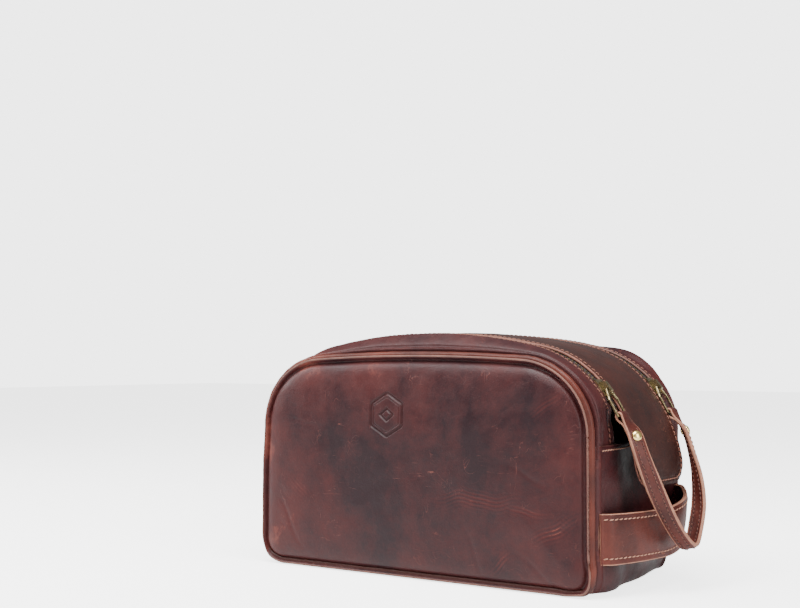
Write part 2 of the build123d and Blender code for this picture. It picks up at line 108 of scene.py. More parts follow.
def small_centre(arch):
    big_x, big_z, big_radius, small_radius, join, _ = arch
    reach = big_radius - small_radius
    return big_x + reach * math.cos(math.radians(join)), big_z + reach * math.sin(math.radians(join))


def arch_left_top(arch, grow):
    """Arcs of the left side and the top, in order from the left."""
    big_x, big_z, big_radius, small_radius, join, top = arch
    small_x, small_z = small_centre(arch)
    top_z = big_z - big_x * math.tan(math.radians(top))
    top_radius = big_radius + big_x / math.cos(math.radians(top))
    return [
        arc(-small_x, small_z, small_radius + grow, 180, 180 - join, ARC_COUNTS[0]),
        arc(-big_x, big_z, big_radius + grow, 180 - join, 180 - top, ARC_COUNTS[1]),
        arc(0, top_z, top_radius + grow, 180 - top, top, ARC_COUNTS[2]),
    ]


def arch_curve(arch, grow, low_z, side_count=24):
    """The arch with its two straight sides, left to right."""
    big_x, big_z, big_radius, small_radius, join, top = arch
    small_x, small_z = small_centre(arch)
    side = small_x + small_radius + grow
    parts = [straight((-side, low_z), (-side, small_z), side_count)]
    parts += arch_left_top(arch, grow)
    parts.append(arc(big_x, big_z, big_radius + grow, top, join, ARC_COUNTS[3]))
    parts.append(arc(small_x, small_z, small_radius + grow, join, 0, ARC_COUNTS[4]))
    parts.append(straight((side, small_z), (side, low_z), side_count))
    parts.append([(side, low_z)])
    return np.concatenate(parts)


tongue_turn = math.radians(TONGUE_START)
TONGUE_X = CREST_X + (CREST_RADIUS - TONGUE_RADIUS) * math.cos(tongue_turn)
TONGUE_Z = CREST_Z + (CREST_RADIUS - TONGUE_RADIUS) * math.sin(tongue_turn)


def flap_curve(grow, end_angle=0.0):
    """The flap's line from its hinge seam on the left to end_angle on the tongue."""
    small_x, small_z = small_centre(CREST_ARCH)
    side = small_x + CREST_ARCH[3] + grow
    parts = [straight((-side, FLAP_LOW_Z), (-side, small_z), 8)]
    parts += arch_left_top(CREST_ARCH, grow)
    parts.append(arc(CREST_X, CREST_Z, CREST_RADIUS + grow, CREST_ARCH[5], TONGUE_START, 20))
    reach = TONGUE_RADIUS + grow
    last = math.radians(end_angle)
    parts.append(arc(TONGUE_X, TONGUE_Z, reach, TONGUE_START, end_angle, 70))
    parts.append([(TONGUE_X + reach * math.cos(last), TONGUE_Z + reach * math.sin(last))])
    return np.concatenate(parts)


def trough_curve(grow, top_z, side_count=40, base_count=70):
    """Down the left side, along the base and up the right side."""
    side = SEAM_HALF + grow
    radius = max(BOTTOM_RADIUS + grow, 1.5)
    low_z = SEAM_LOW_Z - grow
    turn_z = low_z + radius
    return np.concatenate([
        straight((-side, top_z), (-side, turn_z), side_count),
        arc(radius - side, turn_z, radius, 180, 270, 14),
        straight((radius - side, low_z), (side - radius, low_z), base_count),
        arc(side - radius, turn_z, radius, 270, 360, 14),
        straight((side, turn_z), (side, top_z), side_count),
        [(side, top_z)],
    ])


def panel_loop(grow):
    """Closed outline of a panel, clockwise from the left, as seen from the front."""
    over = arch_curve(SEAM_ARCH, grow, small_centre(SEAM_ARCH)[1] - 0.5, 1)[1:-1]
    under = trough_curve(grow, small_centre(SEAM_ARCH)[1], 60, 160)[::-1]
    return np.concatenate([over, under])[:-1]


def lengths_along(points):
    """Distance along a line at each of its points."""
    return np.concatenate([[0], np.cumsum(np.linalg.norm(np.diff(points, axis=0), axis=1))])


def on_line(at, run, points):
    """Points of a line at the given distances, where run holds the distances of its own points."""
    return np.stack([np.interp(at, run, points[:, axis]) for axis in range(points.shape[1])], axis=-1)


def resample(points, step, closed=False):
    """The same line with evenly spaced points."""
    if closed:
        points = np.concatenate([points, points[:1]])
    gaps = np.linalg.norm(np.diff(points, axis=0), axis=1)
    points = points[np.concatenate([[True], gaps > SAME_POINT])]
    run = lengths_along(points)
    count = max(int(round(run[-1] / step)), 2)
    at = np.linspace(0, run[-1], count + 1)
    return on_line(at[:-1] if closed else at, run, points)


# ---------------------------------------------------------------- small tools
def unit(vectors):
    """Vectors of length 1, however short they were."""
    return vectors / np.maximum(np.linalg.norm(vectors, axis=-1, keepdims=True), 1e-9)


def smooth(value):
    """Soft step from 0 to 1 while the value goes from 0 to 1."""
    value = np.clip(value, 0, 1)
    return value * value * (3 - 2 * value)


def hill(value, middle, width):
    """Soft bump of height 1 at middle."""
    return np.exp(-((value - middle) / width) ** 2)


RIPPLE_WAVES = 7


def ripple(points, size, seed):
    """Smooth uneven value from -1 to 1 that changes over about size millimetres."""
    local = np.random.default_rng(seed)
    total = np.zeros(points.shape[:-1])
    for _ in range(RIPPLE_WAVES):
        direction = local.normal(size=3)
        direction /= np.linalg.norm(direction)
        length = size * local.uniform(0.7, 1.6)
        total += np.sin(points @ direction * 2 * math.pi / length + local.uniform(0, 2 * math.pi))
    return total / math.sqrt(RIPPLE_WAVES * 2)


def grid_normals(grid):
    """Unit normals of a surface grid, along x across."""
    return unit(np.cross(np.gradient(grid, axis=0), np.gradient(grid, axis=1)))


def faces_inwards(grid, core):
    """Whether a grid's normals point towards a core point."""
    return np.sum(grid_normals(grid) * (grid - np.array(core, dtype=float))) < 0


def outward_normals(grid, core=BAG_CORE):
    """Unit normals of a surface grid that point away from the core."""
    normals = grid_normals(grid)
    return -normals if faces_inwards(grid, core) else normals


def swept(line, y):
    """Surface grid of an XZ line and the Y of each of its points."""
    x, z = [np.broadcast_to(line[:, None, axis], y.shape) for axis in (0, 1)]
    return np.stack([x, y, z], axis=-1)


def grid_faces(rows, columns, offset=0, close_rows=False, close_columns=False):
    """Quads of a grid of vertices."""
    row_ends = rows if close_rows else rows - 1
    column_ends = columns if close_columns else columns - 1
    faces = []
    for row in range(row_ends):
        below = (row + 1) % rows
        for column in range(column_ends):
            beside = (column + 1) % columns
            faces.append((offset + row * columns + column, offset + below * columns + column,
                          offset + below * columns + beside, offset + row * columns + beside))
    return faces


def ring_faces(count, sides, start=0):
    """Faces of a stack of rings, with a cap at each end."""
    last = start + (count - 1) * sides
    caps = [tuple(range(start, start + sides)), tuple(range(last, last + sides))[::-1]]
    return grid_faces(count, sides, start, close_columns=True) + caps


def make_piece(name, points, faces, materials, slots=None, tone=None):
    """A mesh object from points in millimetres."""
    mesh = bpy.data.meshes.new(name)
    mesh.from_pydata((np.asarray(points) * MM).tolist(), [], faces)
    for material in materials:
        mesh.materials.append(material)
    if slots is not None:
        mesh.polygons.foreach_set("material_index", np.asarray(slots, dtype=np.int32))
    mesh.polygons.foreach_set("use_smooth", [True] * len(mesh.polygons))
    if tone is not None:
        attribute = mesh.attributes.new("tone", "FLOAT", "POINT")
        attribute.data.foreach_set("value", np.asarray(tone, dtype=np.float32))
    mesh.validate()
    mesh.update()
    piece = bpy.data.objects.new(name, mesh)
    bpy.context.scene.collection.objects.link(piece)
    return piece


def attach(piece, body, nodes=()):
    """Rides a piece on its body and the CAD nodes that it stands for."""
    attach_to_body(piece, body)
    if nodes:
        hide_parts(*nodes)


EDGE_TURNS = (65, 40, 15, -15, -40, -65)


def sheet_parts(outer, thickness, flip):
    """Vertices, faces and material slots of a sheet with thickness below a surface grid.
    Slot 0 is the outer side, 1 the rounded edges and ends, 2 the inner side."""
    normals = -grid_normals(outer) if flip else grid_normals(outer)
    thickness = np.asarray(thickness, dtype=float).reshape(-1)
    inner = outer - normals * thickness[:, None, None]
    rows, columns = outer.shape[:2]
    middle = (outer + inner) / 2
    half = np.broadcast_to(thickness, (rows,))[:, None] / 2
    high_out = unit(outer[:, -1] - outer[:, -2])
    low_out = unit(outer[:, 0] - outer[:, 1])
    high_edge, low_edge = [], []
    for turn in np.radians(EDGE_TURNS):
        out = half * math.cos(turn)
        up = half * math.sin(turn)
        high_edge.append(middle[:, -1] + high_out * out + normals[:, -1] * up)
        low_edge.append(middle[:, 0] + low_out * out - normals[:, 0] * up)
    loops = np.concatenate([outer, np.stack(high_edge, 1), inner[:, ::-1], np.stack(low_edge, 1)], axis=1)
    size = loops.shape[1]
    edge = len(EDGE_TURNS)
    faces = grid_faces(rows, size, close_columns=True)
    one_row = [0] * (columns - 1) + [1] * (edge + 1) + [2] * (columns - 1) + [1] * (edge + 1)
    slots = one_row * (rows - 1)
    back = 2 * columns + edge - 1
    for row in (0, rows - 1):
        start = row * size
        ends = [(start + column, start + column + 1, start + back - column - 1, start + back - column)
                for column in range(columns - 1)]
        ends.append(tuple(start + columns - 1 + number for number in range(edge + 2)))
        ends.append(tuple(start + (back + number) % size for number in range(edge + 2)))
        faces += [face[::-1] for face in ends] if row else ends
        slots += [1] * len(ends)
    if flip:
        faces = [face[::-1] for face in faces]
    return loops.reshape(-1, 3), faces, slots


def make_sheet(name, outer, thickness, materials, tone=None, core=BAG_CORE):
    """A sheet whose outer side, material 0, faces away from the core point."""
    points, faces, slots = sheet_parts(outer, thickness, faces_inwards(outer, core))
    return make_piece(name, points, faces, materials, slots, None if tone is None else tone(points))


def add_sheet(name, outer, thickness, materials, nodes, tone=None, core=BAG_CORE):
    """A sheet on the bag that stands for CAD nodes."""
    piece = make_sheet(name, outer, thickness, materials, tone, core)
    attach(piece, "bag", nodes)
    return piece


def add_cloth(name, grid, thickness, materials, node_name, core=BAG_CORE):
    """A lining sheet on the bag that stands for one CAD node."""
    piece = add_sheet(name, grid, thickness, materials, [node_name], core=core)
    grid = grid * MM
    across = np.cross(grid[1:, 1:] - grid[:-1, :-1], grid[:-1, 1:] - grid[1:, :-1])


# ---------------------------------------------------------------- materials
class Value:
    """A shader value; it can be added to, subtracted from, multiplied and mapped."""

    def __init__(self, nodes, socket):
        self.nodes = nodes
        self.socket = socket

    def math(self, operation, other=0.0):
        return self.nodes.value("ShaderNodeMath", 0, {0: self, 1: other}, operation=operation)

    def __add__(self, other):
        return self.math("ADD", other)

    def __sub__(self, other):
        return self.math("SUBTRACT", other)

    def __mul__(self, other):
        return self.math("MULTIPLY", other)

    def span(self, low, high, out_low=0.0, out_high=1.0):
        """Maps low..high to out_low..out_high, clamped."""
        return self.nodes.value("ShaderNodeMapRange", 0, {
            "Value": self, "From Min": low, "From Max": high, "To Min": out_low, "To Max": out_high})


class Nodes:
    """Short ways to add and join the nodes of a node tree."""

    def __init__(self, tree):
        self.tree = tree

    def put(self, socket, value):
        """Links a socket to a value, or sets it to a number, a vector or a colour."""
        if isinstance(value, Value):
            self.tree.links.new(value.socket, socket)
        elif socket.type == "RGBA":
            socket.default_value = (*value, 1.0)
        else:
            socket.default_value = value

    def add(self, kind, inputs, **settings):
        node = self.tree.nodes.new(kind)
        for key, value in settings.items():
            setattr(node, key, value)
        for key, value in inputs.items():
            self.put(node.inputs[key], value)
        return node

    def value(self, kind, output, inputs, **settings):
        return Value(self, self.add(kind, inputs, **settings).outputs[output])

    def mix(self, factor, first, second):
        """Mixes two colours."""
        node = self.add("ShaderNodeMix", {0: factor}, data_type="RGBA")
        low, high = [socket for socket in node.inputs if socket.type == "RGBA"]
        self.put(low, first)
        self.put(high, second)
        return Value(self, [socket for socket in node.outputs if socket.type == "RGBA"][0])

    def bump(self, height, distance, strength, under=None):
        inputs = {"Height": height, "Distance": distance, "Strength": strength}
        if under is not None:
            inputs["Normal"] = under
        return self.value("ShaderNodeBump", "Normal", inputs)


class Surface(Nodes):
    """A new material with the nodes behind its Principled shader."""

    def __init__(self, name):
        self.material = bpy.data.materials.new(name)
        self.material.use_nodes = True
        super().__init__(self.material.node_tree)
        self.coords = self.value("ShaderNodeTexCoord", "Object", {})

    def stretched(self, scale, turn):
        """Coordinates scaled along each axis and turned about Y."""
        return self.value("ShaderNodeMapping", "Vector", {
            "Vector": self.coords, "Scale": scale, "Rotation": (0.0, turn, 0.0)})

    def noise(self, scale, detail, roughness, distortion, coords=None):
        return self.value("ShaderNodeTexNoise", "Fac", {
            "Vector": coords or self.coords, "Scale": scale, "Detail": detail, "Roughness": roughness,
            "Distortion": distortion})

    def shade(self, values):
        """Sets or links the shader's sockets, and returns the finished material."""
        for key, value in values.items():
            self.put(self.tree.nodes["Principled BSDF"].inputs[key], value)
        return self.material


def leather(name, dark, red, light, grain=1.0, hair_strength=0.22):
    """Waxed pull-up leather: cloudy colour, fine grain, faint lighter scuffs, hairlines and creases."""
    surface = Surface(name)
    tone = surface.value("ShaderNodeAttribute", "Fac", {}, attribute_name="tone")
    clouds = surface.noise(17.0, 5.0, 0.6, 0.8)
    mottle = surface.noise(75.0, 5.0, 0.65, 0.3)
    speck = surface.noise(420.0, 3.0, 0.6, 0.0)
    streak = surface.noise(30.0, 4.0, 0.6, 0.4, surface.stretched((1.0, 1.0, 0.28), 0.62))
    mixed = (clouds - 0.5) * 1.6 + (mottle - 0.5) * 0.8 + (speck - 0.5) * 0.35 + (streak - 0.5) + tone * 0.75
    colour = surface.mix(mixed.span(-0.25, 0.85), dark, red)
    colour = surface.mix(mixed.span(0.62, 1.35), colour, light)

    upright = surface.noise(55.0, 7.0, 0.7, 1.6, surface.stretched((1.0, 1.0, 7.0), 0.5))
    level = surface.noise(48.0, 7.0, 0.72, 1.2, surface.stretched((7.0, 1.0, 1.0), -0.35))
    scuffs = upright.span(0.63, 0.72).math("MAXIMUM", level.span(0.65, 0.74))
    scuffs = scuffs * surface.noise(24.0, 2.0, 0.5, 0.4).span(0.5, 0.66)
    colour = surface.mix(scuffs * 0.5, colour, light)
    contour = (surface.noise(46.0, 2.0, 0.6, 2.2) - 0.52).math("ABSOLUTE")
    hair = contour.span(0.002, 0.0085, 1.0, 0.0) * surface.noise(33.0, 3.0, 0.6, 0.6).span(0.55, 0.66)
    colour = surface.mix(hair * hair_strength, colour, light)
    lines = scuffs.math("MAXIMUM", hair * 0.7)

    pebble = surface.value("ShaderNodeTexVoronoi", "Distance", {"Vector": surface.coords, "Scale": 1150.0})
    pores = surface.noise(2300.0, 2.0, 0.5, 0.0)
    normal = surface.bump(pebble * 0.7 + pores * 0.35, 0.00022, 0.32 * grain)
    normal = surface.bump(surface.noise(120.0, 5.0, 0.6, 0.5), 0.0011, 0.22, normal)
    return surface.shade({"Base Color": colour, "Roughness": mottle.span(0.3, 0.7, 0.36, 0.54) + lines * 0.1,
                          "Specular IOR Level": 0.24, "Normal": surface.bump(lines, 0.0004, 0.3, normal)})


def raw_edge(name, colour, dark):
    """Cut and burnished leather edge: fibrous, lighter than the face."""
    surface = Surface(name)
    fibres = surface.noise(900.0, 4.0, 0.7, 0.4)
    both = fibres * 0.5 + surface.noise(90.0, 4.0, 0.6, 0.2) * 0.5
    return surface.shade({"Base Color": surface.mix(both.span(0.35, 0.62), dark, colour),
                          "Roughness": fibres.span(0.3, 0.7, 0.55, 0.8),
                          "Normal": surface.bump(fibres, 0.0003, 0.5)})


def metal(name, dark, bright, rough, patina):
    """Brass with a mottled patina, worn bright in patches."""
    surface = Surface(name)
    blotch = surface.noise(420.0, 5.0, 0.65, 0.5)
    colour = surface.mix(blotch.span(0.5 - patina * 0.2, 0.62), dark, bright)
    return surface.shade({"Base Color": colour, "Metallic": 1.0,
                          "Roughness": blotch.span(0.35, 0.65, rough + 0.14, rough),
                          "Normal": surface.bump(surface.noise(2600.0, 3.0, 0.6, 0.0), 0.00008, 0.25)})


def woven(name, dark, light, scale, sheen=0.25):
    """Plain weave: crossed waves with slubs."""
    surface = Surface(name)
    inputs = {"Vector": surface.coords, "Scale": scale, "Distortion": 0.6, "Detail": 1.0, "Detail Scale": 2.0}
    waves = [surface.value("ShaderNodeTexWave", "Fac", inputs, bands_direction=axis) for axis in "XYZ"]
    weave = ((waves[0] + waves[1]) * 0.5 + waves[2]) * 0.5
    factor = weave * 0.6 + surface.noise(160.0, 4.0, 0.6, 0.0) * 0.4
    return surface.shade({"Base Color": surface.mix(factor.span(0.2, 0.75), dark, light), "Roughness": 0.85,
                          "Sheen Weight": sheen, "Normal": surface.bump(weave, 0.00025, 0.6)})


def speckled(name, dark, light, scale, rough):
    """Matt material with a fine grain, for thread, suede, board, and the painted shade of needle holes and of
    the gaps beside seams.
    """
    surface = Surface(name)
    grains = surface.noise(scale, 4.0, 0.7, 0.0)
    return surface.shade({"Base Color": surface.mix(grains.span(0.3, 0.7), dark, light),
                          "Roughness": grains.span(0.3, 0.7, rough, rough - 0.12),
                          "Normal": surface.bump(grains, 0.0003, 0.4)})


PLUM = (0.0135, 0.0036, 0.0056)
RED_BROWN = (0.064, 0.0112, 0.0100)
TAN_RED = (0.25, 0.068, 0.046)
body_leather = leather("body_leather", PLUM, RED_BROWN, TAN_RED)
flap_leather = leather("flap_leather_top", (0.013, 0.0042, 0.0036), (0.052, 0.0130, 0.0085),
                       (0.25, 0.095, 0.058), hair_strength=0.4)
trim_leather = leather("trim_leather", (0.040, 0.0080, 0.0058), (0.130, 0.027, 0.017),
                       (0.34, 0.115, 0.070), grain=1.2)
piping_leather = leather("piping_leather", (0.040, 0.0085, 0.0060), (0.140, 0.029, 0.017),
                         (0.33, 0.105, 0.062))
edge_tan = raw_edge("cut_edge", (0.37, 0.165, 0.10), (0.19, 0.075, 0.048))
edge_dark = raw_edge("dark_edge", (0.16, 0.065, 0.045), (0.07, 0.026, 0.02))
tan_thread = speckled("thread", (0.25, 0.105, 0.068), (0.50, 0.265, 0.18), 2200.0, 0.8)
edge_red = raw_edge("red_edge", (0.24, 0.088, 0.056), (0.11, 0.036, 0.025))
red_thread = speckled("red_thread", (0.11, 0.038, 0.026), (0.28, 0.115, 0.075), 2200.0, 0.8)
dark_thread = speckled("dark_thread", (0.045, 0.014, 0.010), (0.15, 0.050, 0.032), 2200.0, 0.8)
# near-black: painted shade in the needle holes of the stitches and in the gaps beside the seams
hole_and_gap_shade = speckled("hole_and_gap_shade", (0.008, 0.004, 0.004), (0.02, 0.009, 0.008), 900.0, 0.9)
old_brass = metal("antique_brass", (0.065, 0.050, 0.026), (0.44, 0.35, 0.19), 0.27, 0.9)
dark_brass = metal("dark_brass", (0.050, 0.038, 0.020), (0.38, 0.29, 0.15), 0.30, 0.5)
bright_brass = metal("polished_brass", (0.68, 0.45, 0.13), (0.92, 0.70, 0.28), 0.17, 1.6)
zip_cloth = woven("zip_cloth", (0.009, 0.004, 0.005), (0.032, 0.013, 0.015), 700.0, sheen=0.04)
lining_cloth = woven("lining_cloth", (0.20, 0.145, 0.095), (0.42, 0.33, 0.235), 420.0)
suede = speckled("flesh_side", (0.10, 0.043, 0.030), (0.21, 0.10, 0.07), 700.0, 0.92)
board = speckled("stiffener", (0.018, 0.016, 0.014), (0.045, 0.04, 0.035), 600.0, 0.8)

# outer side, edges and inner side of each kind of sheet, and their thickness
BODY_SIDES = [body_leather, edge_dark, suede]
TRIM_SIDES = [trim_leather, edge_tan, suede]
CLOTH_SIDES = [lining_cloth] * 3
# linings that run on under the seams get near-black outer sides and edges: painted shade in the gap beside the
# piping
GAP_SHADE_CLOTH_SIDES = [hole_and_gap_shade, hole_and_gap_shade, lining_cloth]
LEATHER_THICK = 1.5
CLOTH_THICK = 0.5


# ---------------------------------------------------------------- stitches
THREAD_RADIUS = 0.36
STITCH_PITCH = 3.5
STITCH_LENGTH = 2.7
THREAD_SIDES = 6
THREAD_LIFT = np.array([-0.25, 0.28, 0.42, 0.42, 0.28, -0.25]) * THREAD_RADIUS * 1.6
THREAD_RADII = np.array([0.62, 1.0, 1.05, 1.05, 1.0, 0.62]) * THREAD_RADIUS
HOLE_RADII = np.array([0.42, 0.36])


class Stitches:
    """Collects the threads of one body into one mesh."""

    def __init__(self):
        self.points = []
        self.faces = []
        self.slots = []

    def add_tube(self, centres, radii, side, up, slot):
        start = sum(len(points) for points in self.points)
        turns = np.linspace(0, 2 * math.pi, THREAD_SIDES, endpoint=False)
        rings = np.stack([centres + side * (radii * math.cos(turn))[:, None]
                          - up * (radii * math.sin(turn))[:, None] for turn in turns], axis=1)
        self.points.append(rings.reshape(-1, 3))
        faces = ring_faces(len(centres), THREAD_SIDES, start)
        self.faces += faces
        self.slots += [slot] * len(faces)

    def add_row(self, path, normals, slant=0.16, pitch=STITCH_PITCH, length=STITCH_LENGTH):
        """Stitches along a path that lies on the leather, with a needle hole at each end."""
        run = lengths_along(path)
        count = int(run[-1] // pitch)
        spare = (run[-1] - count * pitch) / 2
        for number in range(count):
            middle = spare + (number + 0.5) * pitch
            centre = on_line(middle + np.linspace(-0.5, 0.5, 6) * length, run, path)
            up = unit(on_line(middle, run, normals))
            along = unit(centre[-1] - centre[0])
            side = np.cross(up, along)
            swing = np.linspace(-1, 1, 6) * slant * length / 2 * rng.uniform(0.6, 1.4)
            centre = centre + up * THREAD_LIFT[:, None] + side * swing[:, None]
            self.add_tube(centre, THREAD_RADII, side, up, 0)
            # a near-black tube in each needle hole is painted shade of the hole
            if number < count - 1:
                hole = on_line(middle + pitch / 2, run, path)
                ends = np.stack([hole - up * 0.12, hole + up * 0.05])
                self.add_tube(ends, HOLE_RADII, side, -along, 1)

    def piece(self, name, colour=tan_thread):
        return make_piece(name, np.concatenate(self.points), self.faces, [colour, hole_and_gap_shade], self.slots)


def along_surface(grid, columns, core=BAG_CORE):
    """Path and normals on a surface grid at fractional columns, one value or one for each row."""
    normals = outward_normals(grid, core)
    columns = np.broadcast_to(columns, (len(grid),))
    low = np.clip(np.floor(columns).astype(int), 0, grid.shape[1] - 2)
    share = (columns - low)[:, None]
    rows = np.arange(len(grid))
    path = grid[rows, low] * (1 - share) + grid[rows, low + 1] * share
    return path, unit(normals[rows, low] * (1 - share) + normals[rows, low + 1] * share)


REAR_LEAN = 4.0               # how far the soft bag gives way at its rear, corner, left side and base
CORNER_TUCK = 8.0
LEFT_SPREAD = 1.9
CORNER_FILL = 3.4


def settle(points):
    """The soft bag as it stands: its rear leans in at the base, and its underside spreads on the floor."""
    x, y, z = points[..., 0], points[..., 1], points[..., 2]
    lean = REAR_LEAN * (1 - smooth(z / 75)) * smooth(y / 60)
    tuck = CORNER_TUCK * (1 - smooth(z / 62)) * smooth((y + 8) / 68) * smooth((x - 50) / 70)
    spread = LEFT_SPREAD * smooth((-x - 50) / 70) * (1 - smooth((z - 55) / 45)) * smooth((z + 4) / 14)
    fill = CORNER_FILL * smooth((np.abs(x) - 100) / 20) * smooth((25 - z) / 20) * np.where(x > 0, 1.0, 0.35)
    return points + np.stack([np.sign(x) * fill - tuck - spread, -lean, -fill * smooth(z / 7)], axis=-1)


def lighter_left(points, amount):
    """Tone that grows towards the left end."""
    return amount * smooth((-points[:, 0] - 20) / 120)


def lighter_seam(points, amount):
    """Tone that grows beside the piping."""
    return amount * smooth((np.abs(points[:, 1]) - 50) / 6)


SIDES = (("front", -1.0), ("rear", 1.0))


# ---------------------------------------------------------------- front and rear panels
FACE_Y = 61.5
EDGE_RISE = 3.4
EDGE_RUN = 3.2
DOME = 3.6
DOME_INSET = 48.0
EMBLEM_X = -17.6
EMBLEM_Z = 103.0
EMBLEM_HALF = 15.0
EMBLEM_DEPTH = 1.0
PANEL_STEP = 1.6
PANEL_SAG = 2.7

dense_outline = resample(panel_loop(0.0), 0.5, closed=True)


def edge_distance(x, z):
    """Distance of points inside the seam line to that line, in millimetres."""
    flat = np.stack([x.ravel(), z.ravel()], axis=1)
    nearest = np.empty(len(flat))
    for start in range(0, len(flat), 4000):
        block = flat[start:start + 4000]
        gaps = block[:, None, :] - dense_outline[None, :, :]
        nearest[start:start + 4000] = np.sqrt((gaps ** 2).sum(axis=2).min(axis=1))
    return nearest.reshape(x.shape)


def even_steps(low, high, step):
    return np.linspace(low, high, int((high - low) / step) + 1)


def spread_steps(low, high, middle, fine):
    """Positions from low to high; if fine, closer together and closest around middle."""
    if not fine:
        return even_steps(low, high, PANEL_STEP)
    fine_low = middle - EMBLEM_HALF
    fine_high = middle + EMBLEM_HALF
    before = even_steps(low, fine_low, PANEL_STEP / 2)[:-1]
    after = even_steps(fine_high, high, PANEL_STEP / 2)[1:]
    return np.concatenate([before, even_steps(fine_low, fine_high, PANEL_STEP / 4), after])


def band(distance, middle, half_width, soft=0.35):
    """1 inside a line of the given half width, falling softly to 0 outside."""
    return smooth((half_width + soft - np.abs(distance - middle)) / (2 * soft))


def hexagon(x, z, size):
    """Distance from the centre in a rounded hexagon's own measure; equals size at its outline."""
    turn = np.arctan2(z, x)
    radius = np.hypot(x, z)
    spokes = np.abs(((turn + math.pi / 6) % (math.pi / 3)) - math.pi / 6)
    sharp = radius * np.cos(spokes) / math.cos(math.pi / 6) * 0.93
    return np.minimum(np.maximum(sharp, radius * 0.96), radius + size)


def emblem_depth(x, z):
    """Pressed-in generic mark: a rounded hexagon rim around a lozenge with a small lozenge in it."""
    x = x - EMBLEM_X
    z = z - EMBLEM_Z
    rim = band(hexagon(x, z, 13.0), 13.0, 0.9)
    inner_rim = band(hexagon(x, z, 10.0), 10.6, 0.25, 0.3)
    lozenge = np.abs(x) * 0.8 + np.abs(z)
    solid = smooth((5.3 - lozenge) / 0.7) * smooth((lozenge - 2.4) / 0.7)
    return np.maximum(np.maximum(rim, inner_rim * 0.6), solid)


def panel_grid(edge_grow, fine):
    """X and Z of a grid over the whole panel, column by column."""
    side = SEAM_HALF + edge_grow
    ends = 13
    left = -side + 16 * (np.arange(ends) / ends) ** 1.6
    columns = np.concatenate([left, spread_steps(-side + 16, side - 16, EMBLEM_X, fine), -left[::-1]])
    low = SEAM_LOW_Z - edge_grow
    high = arch_curve(SEAM_ARCH, edge_grow, 80.0)[:, 1].max()
    edge = 6 * (np.arange(7) / 7) ** 1.4
    rows = np.concatenate([low + edge, spread_steps(low + 6, high - 6, EMBLEM_Z, fine), high - edge[::-1]])
    share = (rows - low) / (high - low)
    top_line = arch_curve(SEAM_ARCH, edge_grow, 60.0)
    top_z = np.interp(columns, *resample(top_line[24:-24], 0.3).T)
    radius = BOTTOM_RADIUS + edge_grow
    reach = np.clip(np.abs(columns) - (side - radius), 0, radius)
    bottom_z = low + radius - np.sqrt(radius ** 2 - reach ** 2)
    z = bottom_z[:, None] + (top_z - bottom_z)[:, None] * share[None, :]
    x = np.broadcast_to(columns[:, None], z.shape)
    return x, z


# middle X and Z, half length, depth
CREASES = ((92, 14, 15, 0.35), (104, 36, 11, 0.3), (84, 70, 13, 0.22), (-96, 30, 16, 0.3), (48, 20, 18, 0.2),
           (-40, 16, 20, 0.22), (20, 60, 24, 0.15), (-85, 96, 16, 0.2), (70, 108, 15, 0.2))


# middle X and Z, half length, turn in degrees, half width, share of the full depth
WRINKLES = ((50, 53, 21, 2, 5.0, 0.9), (84, 49, 11, -14, 2.6, 0.8), (103, 39, 12, 24, 4.2, 1.0),
            (66, 16, 7, 36, 3.0, 0.8), (97, 112, 11, 30, 3.2, 0.5), (-90, 52, 10, -38, 4.5, 0.4))
WRINKLE_PITCH = 2.3
WRINKLE_DEPTH = 0.34


def wrinkles(x, z):
    """Groups of fine creases that run side by side, 0 on the flat and up to 1 in a deep crease."""
    total = np.zeros_like(x)
    for middle_x, middle_z, length, degrees, width, depth in WRINKLES:
        turn = math.radians(degrees)
        run = (x - middle_x) * math.cos(turn) + (z - middle_z) * math.sin(turn)
        across = (z - middle_z) * math.cos(turn) - (x - middle_x) * math.sin(turn)
        across = across + 1.5 * np.sin(run / 8.5 + middle_x) + 0.5 * np.sin(run / 3.1 + middle_z)
        lines = np.sin(across * math.pi / WRINKLE_PITCH + 0.8 * np.sin(run / 5.3)) ** 2
        total = total + depth * lines * hill(run, 0, length) * hill(across, 0, width)
    return total


def panel_surface(x, z, side_sign, fine):
    """The padded face: a rounded edge, a low dome, loose creases and a sag at the base."""
    inside = edge_distance(x, z)
    crown = 1 - (1 - np.clip(inside / DOME_INSET, 0, 1)) ** 2
    rise = EDGE_RISE * (1 - np.exp(-inside / EDGE_RUN)) + DOME * crown
    flat = np.stack([x, np.zeros_like(x), z], axis=-1)
    rise = rise + 0.45 * ripple(flat, 70.0, 11 if fine else 12) * smooth(inside / 15)
    rise = rise + 0.10 * ripple(flat, 16.0, 21) * smooth(inside / 8)
    for crease_x, crease_z, length, depth in CREASES:
        tilt = crease_x * 0.37
        run = (x - crease_x) * math.cos(tilt) + (z - crease_z) * math.sin(tilt)
        across = (z - crease_z) * math.cos(tilt) - (x - crease_x) * math.sin(tilt) + 1.6 * np.sin(run / 7.0)
        rise = rise - depth * hill(across, 0, 1.5) * hill(run, 0, length)
    rise = rise - 3.2 * smooth((2.0 - inside) / 3.4)
    sag = PANEL_SAG * (1 - smooth((z - 2) / 34))
    if fine:
        rise = rise - EMBLEM_DEPTH * emblem_depth(x, z) - WRINKLE_DEPTH * wrinkles(x, z)
    return settle(np.stack([x, side_sign * (FACE_Y + rise), z - sag], axis=-1))


def face_tone(points):
    """Redder, lighter leather towards the edges and the left, darker in the middle, and a painted highlight that
    lightens the top.
    """
    x, z = points[:, 0], points[:, 2]
    low_left = smooth((-x - 30) / 110) * 0.55
    rim = np.maximum(smooth((np.abs(x) - 98) / 24), smooth((16 - z) / 14))
    # painted highlight: sheen along the top of the face
    top = smooth((z - 112) / 22) * 0.30
    middle = -0.18 * hill(x, 25, 70) * hill(z, 66, 40)
    worn = np.where(points[:, 1] < 0, 1.25 * wrinkles(x, z), 0)
    return low_left + 0.34 * rim + top + middle + worn + 0.16 * ripple(points, 60.0, 31)


